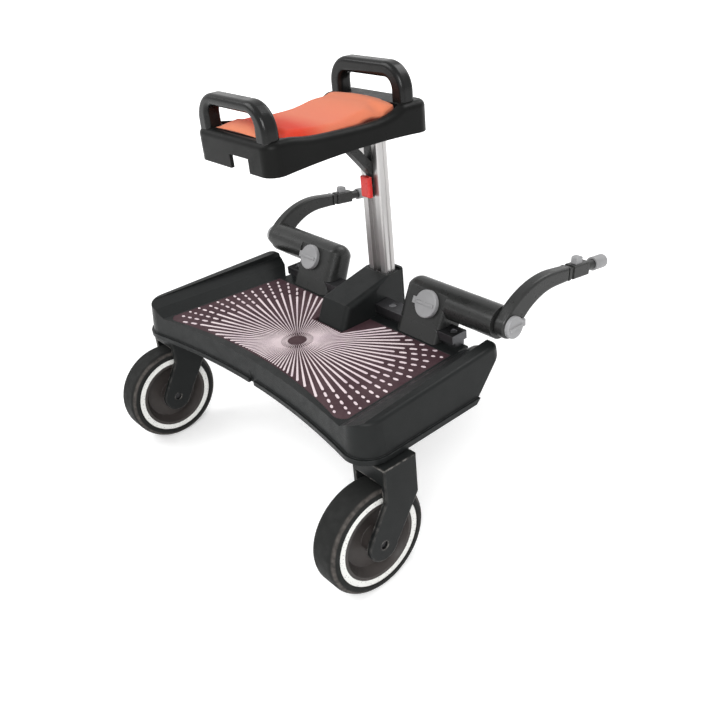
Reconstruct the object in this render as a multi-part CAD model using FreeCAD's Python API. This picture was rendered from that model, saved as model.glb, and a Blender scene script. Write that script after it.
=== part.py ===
"""Buggy board with saddle: a standing board that couples behind a pushchair.

Millimetres. X runs across the board, +Y points to the pushchair, +Z is up.
While it is drawn, Y = 0 is the line of the wheel axles and Z = 0 the ground.
At the end everything moves so that the origin is the middle of the box's foot.
"""
import FreeCAD, Part
import math
import os

# Wheels and castors
WHEEL_RADIUS = 55.0
TYRE_WIDTH = 31.0
TYRE_DEPTH = 9.0
TYRE_ROUND = 7.0
RING_OUTER = 45.5
RING_BAND = 6.0
RING_DEPTH = 0.8
DISC_WEB = 10.0
DISC_RIM = 6.0
HUB_RADIUS = 13.0
HUB_END_GAP = 0.6
AXLE_RADIUS = 4.0
AXLE_RECESS = 2.0
WHEEL_BUSH_WALL = 2.5
WHEEL_BUSH_LENGTH = 9.0
FORK_INSIDE = 35.0
FORK_LEG = 4.8
FORK_EYE = 17.0
FORK_ROUND = 1.6
CROWN_DEPTH = 38.0
CROWN_HEIGHT = 17.0
CROWN_OVER_WHEEL = 5.5
LEG_BACK_DROP = 41.0
LEG_FRONT_DROP = 34.0
EYE_BACK = 16.1
EYE_BACK_DROP = 5.1
EYE_FRONT = 14.5
EYE_FRONT_RISE = 8.8
CASTOR_SKIN = 1.9
CASTOR_TRAIL = 25.0
STEM_RADIUS = 4.5
BUSH_WALL = 1.7
BUSH_LENGTH = 9.0
BUSH_PLAY = 0.1
CLIP_WALL = 1.8
CLIP_HEIGHT = 1.2
CLIP_ROOM = 3.0
BOSS_WALL = 3.0
CROWN_GAP = 1.5
STEM_GRIP = 8.5

# Deck
DECK_HALF_WIDTH = 198.0
DECK_TAPER = 7.0
DECK_FRONT = -5.0
FRONT_HOLLOW = 17.0
DECK_DEPTH = 185.0
DECK_FRONT_ROUND = 24.0
DECK_BACK_ROUND = 14.0
DECK_HEIGHT = 39.0
WALL_DRAFT = 4.0
WALL = 4.0
RIM_RISE = 7.0
RIM_ROUND = 4.0
LEDGE = 2.0
LEDGE_HEIGHT = 5.0
FLOOR_DROP = 13.0
FLOOR_PANEL = 4.0
SIDE_RIM = 39.0
TRAY_TAPER = 15.0
STEP_RUN = 13.0
STEP_DROP = 5.0
RIM_BAND_EDGE = 6.0
BACK_SLOPE_FOOT = 46.0
BACK_SLOPE_TOP = 4.0
BACK_EDGE = 6.0
BACK_WALL = 6.0
RIB = 2.5
RIB_HEIGHT = 12.0
RIB_COUNT = 5
NOTCH_WIDTH = 9.0
NOTCH_DEPTH = 3.5

# Mat
MAT_THICKNESS = 3.0
MAT_SIDE_MARGIN = 2.5
MAT_FRONT_MARGIN = 8.0
MAT_BACK_GAP = 2.5
MAT_ROUND = 12.0
MAT_PLAY = 0.3
MAT_SOCKET_GAP = 1.0

# Rail with its T head, carried by the deck
RAIL_INSET = 8.0
RAIL_END_GAP = 6.0
RAIL_HEAD = 20.0
RAIL_HEAD_HEIGHT = 9.0
RAIL_FOOT = 12.0
RAIL_FOOT_HEIGHT = 5.0
SLIDE_PLAY = 0.35
SCREW_RADIUS = 2.0
SCREW_HEAD = 4.0
SCREW_HEAD_HEIGHT = 2.4
SCREW_SINK = 0.6
SCREW_PLAY = 0.2
RAIL_SCREW_INSET = 8.0
RAIL_SCREW_PITCH = 90.0

# Shoulders: clamp block, tube and knob face
SHOULDER_FROM_SOCKET = 35.0
SHOULDER_FROM_END = 19.0
SHOULDER_LIP = 8.5
SHOULDER_ROUND = 5.0
SHOULDER_NOSE = 11.0
TUBE_RADIUS = 16.5
TUBE_RISE = 34.0
TUBE_BACK = 15.0
TUBE_LENGTH = 60.0
FACE_TILT = 25.0
FACE_OFFSET = 15.0
KNOB_SHARE = 0.64
KNOB_DROP = 7.0
KNOB_RADIUS = 14.3
KNOB_THICK = 5.0
KNOB_EDGE = 1.2
KNOB_TAB = 4.5
KNOB_TAB_WIDTH = 7.0
KNOB_TAB_DROP = 1.5
KNOB_BAR = 1.4
KNOB_BAR_WIDTH = 3.0
KNOB_SHAFT = 4.0
KNOB_SHAFT_LENGTH = 12.0
RUN_PLAY = 0.05
FACE_GAP = 0.3

# Arms and couplers
ARM_THICK = 13.0
ARM_ROOT = 13.0
ARM_END_HALF = 8.0
ARM_CURVE = 76.0
ARM_START = 48.5
ARM_DROP = 6.5
ARM_STRAIGHT = 20.0
ARM_ROUND = 3.2
PIVOT_BOLT = 4.0
PIVOT_BOLT_IN = 24.0
PIVOT_KNOB_RADIUS = 11.0
PIVOT_KNOB_THICK = 4.5
PIVOT_BOLT_SEAT = 2.5
COUPLER_LENGTH = 31.0
COUPLER_HALF = 7.0
COUPLER_GROOVE = 5.0
COUPLER_GROOVE_DEPTH = 1.3
COUPLER_ROUND = 2.0
COUPLER_NECK = 5.2
COUPLER_NECK_LENGTH = 13.0
PIN_RADIUS = 7.0
PIN_LENGTH = 18.0
PIN_ROUND = 2.0
TAB_LENGTH = 9.0
TAB_WIDTH = 7.0
TAB_PROUD = 7.0
TAB_DEEP = 5.0
TAB_TRAVEL = 3.0
TAB_AT = 13.0
TAB_SPRING_RADIUS = 2.4
SPRING_WALL = 0.8

# Saddle socket, post and bracket
SOCKET_HALF_WIDTH = 23.0
SOCKET_TAPER = 4.5
SOCKET_TAPER_LENGTH = 40.0
SOCKET_LENGTH = 91.5
SOCKET_LEAN = 12.0
SOCKET_FRONT_HEIGHT = 24.0
SOCKET_TOP_HEIGHT = 38.0
SOCKET_SKIN = 3.2
SOCKET_ROUND = 6.0
SOCKET_FOOT_DROP = 4.0
BACK_PLATE = 3.0
BACK_PLATE_RISE = 2.5
PLATE_SCREW_INSET = 7.0
POST_WIDTH = 30.0
POST_DEPTH = 14.0
POST_BEHIND_RAIL = 23.0
POST_ROUND = 2.5
POST_WALL = 2.2
POST_PLAY = 0.3
POST_FOOT = 5.0
POST_IN_SADDLE = 12.0
GROOVE_WIDTH = 12.0
GROOVE_DEPTH = 5.0
FLUTE_RADIUS = 0.9
FLUTE_PITCH = 9.5
BAR_PLAY = 0.3
BAR_DROP = 70.0
BRACKET_WIDTH = 11.0
STRUT_REACH = 38.0
STRUT_ROOT = 14.5
STRUT_TOP = 11.5
STRUT_FOOT = 48.0
BRACKET_TOP = 4.0
LOCK_WIDTH = 13.0
LOCK_HEIGHT = 22.0
LOCK_DEPTH = 5.0
LOCK_ROUND = 1.5
LOCK_TRAVEL = 2.5
LOCK_STEM = 2.5
LOCK_STEM_LENGTH = 5.0
SPRING_PLAY = 0.3

# Saddle
SADDLE_RISE = 193.0
SADDLE_LENGTH = 191.0
SADDLE_BEHIND_POST = 26.0
SADDLE_HALF_WIDTH = 61.0
SADDLE_HEIGHT = 30.0
SADDLE_WALL = 3.5
SADDLE_ROUND = 14.0
SADDLE_EDGE = 6.5
SADDLE_DIP = 8.0
DIP_LINE = ((0.0, 0.0), (0.16, 0.4), (0.41, 0.8), (0.66, 1.0), (0.84, 0.85), (0.95, 0.3), (1.0, 0.0))
SEAT_DROP = 15.0
SEAT_PANEL = 3.5
SEAT_RIM = 9.0
SEAT_ROUND = 5.0
SADDLE_NOTCH_MIDDLE = 12.0
SADDLE_NOTCH_HALF = 15.0
SADDLE_NOTCH = 13.0
SADDLE_ARCH = 3.5
SLEEVE_WALL = 4.0
HANDLE_RISE = 32.5
REAR_HANDLE_RISE = 36.5
HANDLE_BAR = 11.0
REAR_HANDLE_BAR = 15.0
HANDLE_LEG = 17.0
HANDLE_DEPTH = 17.0
HANDLE_HALF_WIDTH = 55.0
HANDLE_CORNER = 27.0
HANDLE_EDGE = 5.0
HANDLE_INSET = 2.5
HANDLE_SCREW_LENGTH = 12.0
REAR_HANDLE_INSET = 14.0
PAD_GAP = 0.6
PAD_SEAT_GAP = 0.3
PAD_PROUD = 2.5
PAD_CROWN = 4.5
FLAP_INSET = 5.0
FLAP_THICK = 2.7
FLAP_TUCK = 16.0
FLAP_DROP = 5.0

# Levels and places worked out from the sizes above
DECK_BACK = DECK_FRONT + DECK_DEPTH
DECK_FRONT_MID = DECK_FRONT + FRONT_HOLLOW
TRAY_HALF_WIDTH = DECK_HALF_WIDTH - SIDE_RIM
STEP_HALF_WIDTH = TRAY_HALF_WIDTH + STEP_RUN
CLIP_REACH = STEM_RADIUS + CLIP_WALL + FACE_GAP
CASTOR_X = DECK_HALF_WIDTH - WALL_DRAFT - CASTOR_SKIN - CLIP_REACH
RAIL_Y = DECK_BACK - RAIL_INSET
RAIL_HALF_LENGTH = TRAY_HALF_WIDTH - TRAY_TAPER - RAIL_END_GAP
SHOULDER_IN = SOCKET_HALF_WIDTH + SHOULDER_FROM_SOCKET
SHOULDER_OUT = RAIL_HALF_LENGTH - SHOULDER_FROM_END
TUBE_END = SHOULDER_OUT + TUBE_LENGTH
KNOB_X = SHOULDER_IN + KNOB_SHARE * (SHOULDER_OUT - SHOULDER_IN)
AXLE_Z = WHEEL_RADIUS
CROWN_UNDER = 2 * WHEEL_RADIUS + CROWN_OVER_WHEEL
CROWN_TOP = CROWN_UNDER + CROWN_HEIGHT
DECK_BOTTOM = CROWN_TOP + CROWN_GAP
STEM_IN_DECK = 2 * BUSH_LENGTH + STEM_GRIP
CLIP_LEVEL = DECK_BOTTOM + STEM_IN_DECK
BOSS_TOP = CLIP_LEVEL + CLIP_HEIGHT + CLIP_ROOM + BOSS_WALL
RIM_TOP = DECK_BOTTOM + DECK_HEIGHT
FLOOR_TOP = RIM_TOP - FLOOR_DROP
RAIL_TOP = FLOOR_TOP + RAIL_FOOT_HEIGHT + RAIL_HEAD_HEIGHT
RAIL_HEAD_UNDER = FLOOR_TOP + RAIL_FOOT_HEIGHT
PIVOT_Y = RAIL_Y + TUBE_BACK
PIVOT_Z = FLOOR_TOP + TUBE_RISE
ARM_IN = TUBE_END + FACE_GAP
ARM_OUT = ARM_IN + ARM_THICK
POST_Y = RAIL_Y + POST_BEHIND_RAIL
POST_FRONT = POST_Y - POST_DEPTH / 2
POST_BACK = POST_Y + POST_DEPTH / 2
SOCKET_BACK = POST_BACK + POST_PLAY + SOCKET_SKIN
SOCKET_FRONT = SOCKET_BACK - SOCKET_LENGTH
SOCKET_TOP = FLOOR_TOP + SOCKET_TOP_HEIGHT
SOCKET_BOTTOM = FLOOR_TOP - SOCKET_FOOT_DROP
POST_BOTTOM = SOCKET_BOTTOM + POST_FOOT
SADDLE_BACK = POST_Y + SADDLE_BEHIND_POST
SADDLE_FRONT = SADDLE_BACK - SADDLE_LENGTH
SADDLE_BOTTOM = FLOOR_TOP + SADDLE_RISE
SADDLE_TOP = SADDLE_BOTTOM + SADDLE_HEIGHT
SEAT_TOP = SADDLE_TOP - SEAT_DROP
POST_TOP = SADDLE_BOTTOM + POST_IN_SADDLE
BAR_FOOT = SADDLE_BOTTOM - BAR_DROP
FRONT_HANDLE_Y = SADDLE_FRONT + HANDLE_INSET + HANDLE_DEPTH / 2
REAR_HANDLE_Y = SADDLE_BACK - REAR_HANDLE_INSET - HANDLE_DEPTH / 2
SEAT_FRONT = FRONT_HANDLE_Y + HANDLE_DEPTH / 2 + PAD_GAP
SEAT_BACK = REAR_HANDLE_Y - HANDLE_DEPTH / 2 - PAD_GAP
PAD_END_TUCK = SEAT_ROUND - math.sqrt(SEAT_ROUND ** 2 - (SEAT_ROUND - PAD_GAP) ** 2)
LOCK_BACK = POST_FRONT - BAR_PLAY - LOCK_TRAVEL - FACE_GAP
TAB_FLOOR = COUPLER_HALF - TAB_DEEP
SPRING_SEAT = TAB_FLOOR - TAB_TRAVEL - FACE_GAP
SIDE_SLANT = math.atan(DECK_TAPER / DECK_DEPTH)
TILT = math.radians(FACE_TILT)
DROP = math.radians(ARM_DROP)
FACE_FOOT = (FLOOR_TOP + FACE_GAP - PIVOT_Z - FACE_OFFSET * math.sin(TILT)) / math.cos(TILT)
SHOULDER_FRONT = PIVOT_Y - FACE_OFFSET * math.cos(TILT) + FACE_FOOT * math.sin(TILT)
SIDES = (("left", -1), ("right", 1))

V = FreeCAD.Vector
UP = V(0, 0, 1)
ACROSS = V(1, 0, 0)
FACE_OUT = V(0, -math.cos(TILT), math.sin(TILT))
FACE_UP = V(0, math.sin(TILT), math.cos(TILT))
ARM_ALONG = V(0, math.cos(DROP), -math.sin(DROP))
ARM_NORMAL = V(0, math.sin(DROP), math.cos(DROP))


def box(x0, x1, y0, y1, z0, z1):
    """Block between two corners."""
    return Part.makeBox(x1 - x0, y1 - y0, z1 - z0, V(x0, y0, z0))


def rod(start, axis, radius, length):
    """Round bar from a start point along an axis."""
    return Part.makeCylinder(radius, length, V(*start), V(*axis))


def tube(start, axis, outer, inner, length):
    """Round sleeve from a start point along an axis."""
    return rod(start, axis, outer, length).cut(rod(start, axis, inner, length))


def prism(points, direction):
    """Solid swept from a flat polygon along a vector."""
    wire = Part.makePolygon([V(*p) for p in points] + [V(*points[0])])
    return Part.Face(wire).extrude(V(*direction))


def prism_x(points, x0, x1):
    """Polygon of (y, z) points swept from x0 to x1."""
    return prism([(x0, y, z) for y, z in points], (x1 - x0, 0, 0))


def prism_y(points, y0, y1):
    """Polygon of (x, z) points swept from y0 to y1."""
    return prism([(x, y0, z) for x, z in points], (0, y1 - y0, 0))


def arc(a, b, c):
    """Arc edge through three points."""
    return Part.Arc(V(*a), V(*b), V(*c)).toShape()


def line(a, b):
    """Straight edge between two points."""
    return Part.LineSegment(V(*a), V(*b)).toShape()


def fillet(shape, radius, wanted):
    """Round the edges that the test picks."""
    return shape.makeFillet(radius, [e for e in shape.Edges if wanted(e)])


def middle(edge):
    """Point halfway along an edge."""
    return edge.valueAt((edge.FirstParameter + edge.LastParameter) / 2)


def near(a, b, gap=0.02):
    """True where two lengths agree."""
    return abs(a - b) < gap


def along(edge, axis):
    """True for a straight edge that runs along an axis."""
    if not isinstance(edge.Curve, (Part.Line, Part.LineSegment)):
        return False
    return near(abs(edge.tangentAt(edge.FirstParameter).dot(axis)), 1.0, 0.001)


def round_block(x0, x1, y0, y1, z0, z1, radius):
    """Block whose upright edges are rounded."""
    return fillet(box(x0, x1, y0, y1, z0, z1), radius, lambda e: along(e, UP))


def mirrored(shape, side):
    """The shape drawn for the right side, or its mirror image for the left."""
    if side > 0:
        return shape
    return shape.mirror(V(0, 0, 0), ACROSS)


def deck_outline(inset, z, half_width, front, front_mid, back, front_round, back_round, slant):
    """Closed outline of the board: hollow front edge, rounded corners, sides that slant in by an angle.

    It is moved inwards by inset.
    """
    w = half_width - inset
    y0 = front + inset
    ym = front_mid + inset
    y1 = back - inset
    rf = front_round - inset
    rb = back_round - inset
    cx = w - rf
    cy = y0 + rf
    k = cy - ym
    big = (cx ** 2 + k ** 2 - rf ** 2) / (2 * (rf - k))
    reach = big + rf
    tx = cx - rf * cx / reach
    ty = cy - rf * (cy - ym + big) / reach
    bend = (math.atan2(ty - cy, tx - cx) + slant) / 2
    mx = cx + rf * math.cos(bend)
    my = cy + rf * math.sin(bend)
    fx = cx + rf * math.cos(slant)
    fy = cy + rf * math.sin(slant)
    by = y1 - rb
    bx = fx - (rb + (by - fy) * math.sin(slant)) / math.cos(slant)
    sx = bx + rb * math.cos(slant)
    sy = by + rb * math.sin(slant)
    turn = (slant + math.pi / 2) / 2
    ax = bx + rb * math.cos(turn)
    ay = by + rb * math.sin(turn)
    edges = [
        line((fx, fy, z), (sx, sy, z)),
        arc((sx, sy, z), (ax, ay, z), (bx, y1, z)),
        line((bx, y1, z), (-bx, y1, z)),
        arc((-bx, y1, z), (-ax, ay, z), (-sx, sy, z)),
        line((-sx, sy, z), (-fx, fy, z)),
        arc((-fx, fy, z), (-mx, my, z), (-tx, ty, z)),
        arc((-tx, ty, z), (0, ym, z), (tx, ty, z)),
        arc((tx, ty, z), (mx, my, z), (fx, fy, z)),
    ]
    return Part.Wire(edges)


DECK_PLAN = (
    DECK_HALF_WIDTH,
    DECK_FRONT,
    DECK_FRONT_MID,
    DECK_BACK,
    DECK_FRONT_ROUND,
    DECK_BACK_ROUND,
    SIDE_SLANT,
)
MAT_PLAN = (
    TRAY_HALF_WIDTH - MAT_SIDE_MARGIN,
    DECK_FRONT + WALL_DRAFT + MAT_FRONT_MARGIN,
    DECK_FRONT_MID + WALL_DRAFT + MAT_FRONT_MARGIN,
    SHOULDER_FRONT - MAT_BACK_GAP,
    MAT_ROUND,
    MAT_ROUND,
    0.0,
)


def slab(plan, inset, z0, z1):
    """Plate with a board outline between two levels."""
    return Part.Face(deck_outline(inset, z0, *plan)).extrude(V(0, 0, z1 - z0))


def back_wedge(level, shift, x0, x1):
    """Wedge behind a raked back wall that ends at a level, moved forward by shift."""
    foot = DECK_BACK - BACK_SLOPE_FOOT - shift
    low = DECK_BOTTOM - WALL
    far = DECK_BACK + DECK_HALF_WIDTH
    points = [(foot, DECK_BOTTOM), (DECK_BACK - shift, level), (far, level), (far, low), (foot, low)]
    return prism_x(points, x0, x1)


def back_slope(shift):
    """Room behind the back wall: raked up to the rims, and under the tray's back edge."""
    reach = 2 * DECK_HALF_WIDTH
    rim = RIM_TOP + RIM_RISE - BACK_SLOPE_TOP
    floor = tray_half_width(DECK_BACK)
    wedges = back_wedge(FLOOR_TOP - BACK_EDGE, shift, -floor, floor)
    wedges = wedges.fuse(back_wedge(rim, shift, -reach, -floor))
    return wedges.fuse(back_wedge(rim, shift, floor, reach))


def castor_boss_cut(side):
    """Room for the stem, its bushes and its clip inside a castor boss."""
    x = side * CASTOR_X
    bore = rod((x, CASTOR_TRAIL, DECK_BOTTOM), UP, STEM_RADIUS + BUSH_WALL + BUSH_PLAY, STEM_IN_DECK)
    room = rod((x, CASTOR_TRAIL, CLIP_LEVEL), UP, CLIP_REACH, CLIP_HEIGHT + CLIP_ROOM)
    return bore.fuse(room)


def tray_half_width(y):
    """Half the width of the tray floor, which narrows towards the back."""
    return TRAY_HALF_WIDTH - TRAY_TAPER * (y - DECK_FRONT) / DECK_DEPTH


def rim_level(y):
    """Height of the side rims, which rise towards the back."""
    return RIM_TOP + RIM_RISE * (y - DECK_FRONT) / DECK_DEPTH


def tray_half(above):
    """Room over the tray floor and its stepped right side, which slants in towards the back."""
    front = DECK_FRONT - DECK_BACK
    length = DECK_BACK - front
    slim = TRAY_HALF_WIDTH - tray_half_width(front)
    rim_edge = DECK_HALF_WIDTH - WALL_DRAFT - RIM_BAND_EDGE
    section = [
        (-SOCKET_HALF_WIDTH, FLOOR_TOP),
        (TRAY_HALF_WIDTH - slim, FLOOR_TOP),
        (STEP_HALF_WIDTH - slim, RIM_TOP - STEP_DROP),
        (rim_edge - slim, RIM_TOP),
        (rim_edge - slim, above),
        (-SOCKET_HALF_WIDTH, above),
    ]
    slant = TRAY_TAPER * length / DECK_DEPTH
    return prism([(x, front, z) for x, z in section], (-slant, length, 0))


def make_deck_shell():
    """Board moulding: skirt, raised side rims, tray floor, ribs and castor bosses."""
    foot = deck_outline(0, DECK_BOTTOM, *DECK_PLAN)
    share = (DECK_HEIGHT + RIM_RISE) / DECK_HEIGHT
    head = deck_outline(WALL_DRAFT * share, RIM_TOP + RIM_RISE, *DECK_PLAN)
    body = Part.makeLoft([foot, head], True, True)
    wide = 2 * DECK_HALF_WIDTH
    crest = [(y, rim_level(y)) for y in (-DECK_DEPTH, 2 * DECK_DEPTH)]
    crest += [(y, RIM_TOP + DECK_HEIGHT) for y in (2 * DECK_DEPTH, -DECK_DEPTH)]
    body = body.cut(prism_x(crest, -wide, wide))
    body = fillet(body, RIM_ROUND, lambda e: near(middle(e).z, rim_level(middle(e).y)))
    body = body.fuse(slab(DECK_PLAN, -LEDGE, DECK_BOTTOM, DECK_BOTTOM + LEDGE_HEIGHT))
    under = FLOOR_TOP - MAT_THICKNESS - FLOOR_PANEL
    above = RIM_TOP + DECK_HEIGHT
    for side in (-1, 1):
        body = body.cut(mirrored(tray_half(above), side))
    behind = DECK_BACK + DECK_HALF_WIDTH
    floor = tray_half_width(DECK_BACK)
    body = body.cut(box(-floor, floor, DECK_BACK, behind, FLOOR_TOP, above))
    body = body.cut(back_slope(0))
    hollow = slab(DECK_PLAN, WALL + WALL_DRAFT, DECK_BOTTOM - WALL, under)
    hollow = hollow.cut(back_slope(BACK_WALL))
    ribs = []
    pitch = 2 * TRAY_HALF_WIDTH / (RIB_COUNT + 1)
    for i in range(RIB_COUNT):
        x = (i + 1) * pitch - TRAY_HALF_WIDTH
        ribs.append(box(x - RIB / 2, x + RIB / 2, DECK_FRONT, DECK_BACK, under - RIB_HEIGHT, under))
    for side in (-1, 1):
        boss_radius = STEM_RADIUS + BUSH_WALL + BUSH_PLAY + BOSS_WALL
        boss = rod((side * CASTOR_X, CASTOR_TRAIL, DECK_BOTTOM), UP, boss_radius, BOSS_TOP - DECK_BOTTOM)
        ribs.append(boss)
    body = body.cut(hollow.cut(Part.makeCompound(ribs)))
    body = body.cut(mat_blank(MAT_PLAY, FLOOR_TOP - MAT_THICKNESS, FLOOR_TOP + WALL))
    bores = [castor_boss_cut(side) for side in (-1, 1)]
    for x, y in rail_screw_places():
        bores.append(rod((x, y, under - RIB_HEIGHT), UP, SCREW_RADIUS + SCREW_PLAY, DECK_HEIGHT))
    body = body.cut(bores)
    notch_top = FLOOR_TOP + WALL
    notch_y = DECK_FRONT_MID - LEDGE + NOTCH_DEPTH
    body = body.cut(
        box(-NOTCH_WIDTH / 2, NOTCH_WIDTH / 2, notch_y - DECK_BACK, notch_y, DECK_BOTTOM - WALL, notch_top)
    )
    return body


def rail_screw_places():
    """Plan positions of the rail's screws."""
    outer = RAIL_HALF_LENGTH - RAIL_SCREW_INSET
    return [(side * x, RAIL_Y) for x in (outer - RAIL_SCREW_PITCH, outer) for side in (-1, 1)]


def mat_blank(grow, z0, z1):
    """The mat's outline with its slanting sides between two levels, grown all round."""
    mat = slab(MAT_PLAN, -grow, z0, z1)
    front = DECK_FRONT - DECK_BACK
    back = 2 * DECK_BACK
    corners = []
    for y in (front, back):
        corners.append((tray_half_width(y) - MAT_SIDE_MARGIN + grow, y, z0))
    points = corners + [(-x, y, z) for x, y, z in reversed(corners)]
    return mat.common(prism(points, (0, 0, z1 - z0)))


def make_grip_mat():
    """Rubber inlay on the tray floor, cut out round the saddle socket."""
    mat = mat_blank(0, FLOOR_TOP - MAT_THICKNESS, FLOOR_TOP)
    half = SOCKET_HALF_WIDTH + MAT_SOCKET_GAP
    front = SOCKET_FRONT - MAT_SOCKET_GAP
    return mat.cut(box(-half, half, front, DECK_BACK, FLOOR_TOP - WALL, FLOOR_TOP + WALL))


def rail_section(play):
    """T profile of the rail as (y, z) points, grown by play."""
    head = RAIL_HEAD / 2 + play
    foot = RAIL_FOOT / 2 + play
    under = RAIL_HEAD_UNDER - play
    half = [(foot, FLOOR_TOP - play), (foot, under), (head, under), (head, RAIL_TOP + play)]
    return [(RAIL_Y + y, z) for y, z in half] + [(RAIL_Y - y, z) for y, z in reversed(half)]


def make_cross_rail():
    """Extruded T rail with sunk screw seats."""
    rail = prism_x(rail_section(0), -RAIL_HALF_LENGTH, RAIL_HALF_LENGTH)
    seat = RAIL_TOP - SCREW_SINK - SCREW_HEAD_HEIGHT
    for x, y in rail_screw_places():
        rail = rail.cut(rod((x, y, FLOOR_TOP), UP, SCREW_RADIUS + SCREW_PLAY, RAIL_TOP - FLOOR_TOP))
        rail = rail.cut(rod((x, y, seat), UP, SCREW_HEAD + SCREW_PLAY, RAIL_TOP - seat))
    return rail


def make_rail_screws():
    """Screws that hold the rail down through the tray floor."""
    seat = RAIL_TOP - SCREW_SINK - SCREW_HEAD_HEIGHT
    foot = FLOOR_TOP - MAT_THICKNESS - FLOOR_PANEL
    screws = []
    for x, y in rail_screw_places():
        shank = rod((x, y, foot), UP, SCREW_RADIUS, seat - foot)
        screws.append(shank.fuse(rod((x, y, seat), UP, SCREW_HEAD, SCREW_HEAD_HEIGHT)).removeSplitter())
    return Part.makeCompound(screws)


def post_slot(play, z0, z1):
    """Block that the post fills between two levels, grown by play."""
    half = POST_WIDTH / 2 + play
    return box(-half, half, POST_FRONT - play, POST_BACK + play, z0, z1)


def make_saddle_socket():
    """Wedge housing on the rail, with the pocket that holds the post."""
    lean_top = SOCKET_FRONT + SOCKET_LEAN
    behind_deck = DECK_BACK + FACE_GAP
    points = [
        (SOCKET_FRONT, FLOOR_TOP - MAT_THICKNESS),
        (lean_top, FLOOR_TOP + SOCKET_FRONT_HEIGHT),
        (POST_FRONT - SOCKET_SKIN, SOCKET_TOP),
        (SOCKET_BACK, SOCKET_TOP),
        (SOCKET_BACK, SOCKET_BOTTOM),
        (behind_deck, SOCKET_BOTTOM),
        (behind_deck, FLOOR_TOP),
        (MAT_PLAN[3] + MAT_PLAY, FLOOR_TOP),
        (MAT_PLAN[3] + MAT_PLAY, FLOOR_TOP - MAT_THICKNESS),
    ]
    body = prism_x(points, -SOCKET_HALF_WIDTH, SOCKET_HALF_WIDTH)
    body = fillet(
        body,
        SOCKET_ROUND,
        lambda e: near(abs(middle(e).x), SOCKET_HALF_WIDTH)
        and middle(e).z > FLOOR_TOP
        and middle(e).y < POST_FRONT - SOCKET_SKIN,
    )
    wide = SOCKET_HALF_WIDTH
    far = SOCKET_BACK + SOCKET_TAPER_LENGTH
    narrow = wide - 2 * SOCKET_TAPER
    low = SOCKET_BOTTOM - WALL
    for side in (-1, 1):
        start = (side * wide, SOCKET_BACK - SOCKET_TAPER_LENGTH, low)
        side_cut = prism([start, (side * narrow, far, low), (side * wide, far, low)], (0, 0, SOCKET_TOP))
        body = body.cut(side_cut)
    body = body.cut(prism_x(rail_section(SCREW_PLAY), -RAIL_HALF_LENGTH, RAIL_HALF_LENGTH))
    body = body.cut(post_slot(POST_PLAY, POST_BOTTOM, SOCKET_TOP + WALL))
    for x, z in plate_screw_places():
        body = body.cut(rod((x, SOCKET_BACK, z), (0, -1, 0), SCREW_RADIUS + SCREW_PLAY, SOCKET_SKIN))
    return body


def plate_screw_places():
    """Positions of the back plate's screws on the back of the socket."""
    x = SOCKET_HALF_WIDTH - SOCKET_TAPER - PLATE_SCREW_INSET
    levels = (SOCKET_BOTTOM + PLATE_SCREW_INSET, SOCKET_TOP - PLATE_SCREW_INSET)
    return [(side * x, z) for side in (-1, 1) for z in levels]


def make_back_plate():
    """Thin plate behind the socket that rises past its top."""
    top = SOCKET_TOP + BACK_PLATE_RISE
    half = SOCKET_HALF_WIDTH - SOCKET_TAPER
    plate = box(-half, half, SOCKET_BACK, SOCKET_BACK + BACK_PLATE, SOCKET_BOTTOM, top)
    plate = fillet(plate, BACK_PLATE, lambda e: along(e, V(0, 1, 0)) and near(middle(e).z, top))
    for x, z in plate_screw_places():
        plate = plate.cut(rod((x, SOCKET_BACK, z), (0, 1, 0), SCREW_RADIUS + SCREW_PLAY, BACK_PLATE))
    return plate


def make_plate_screws():
    """Screws through the back plate, heads at the back."""
    screws = []
    seat = SOCKET_BACK + BACK_PLATE
    length = BACK_PLATE + SOCKET_SKIN
    for x, z in plate_screw_places():
        shank = rod((x, seat, z), (0, -1, 0), SCREW_RADIUS, length)
        screws.append(shank.fuse(rod((x, seat, z), (0, 1, 0), SCREW_HEAD, SCREW_HEAD_HEIGHT)))
    return Part.makeCompound(screws)


def make_stem_bushes():
    """Two plain bushes for each castor stem."""
    bushes = []
    for side in (-1, 1):
        for z in (DECK_BOTTOM, DECK_BOTTOM + STEM_IN_DECK - BUSH_LENGTH):
            start = (side * CASTOR_X, CASTOR_TRAIL, z)
            bushes.append(tube(start, UP, STEM_RADIUS + BUSH_WALL, STEM_RADIUS + RUN_PLAY, BUSH_LENGTH))
    return Part.makeCompound(bushes)


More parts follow.
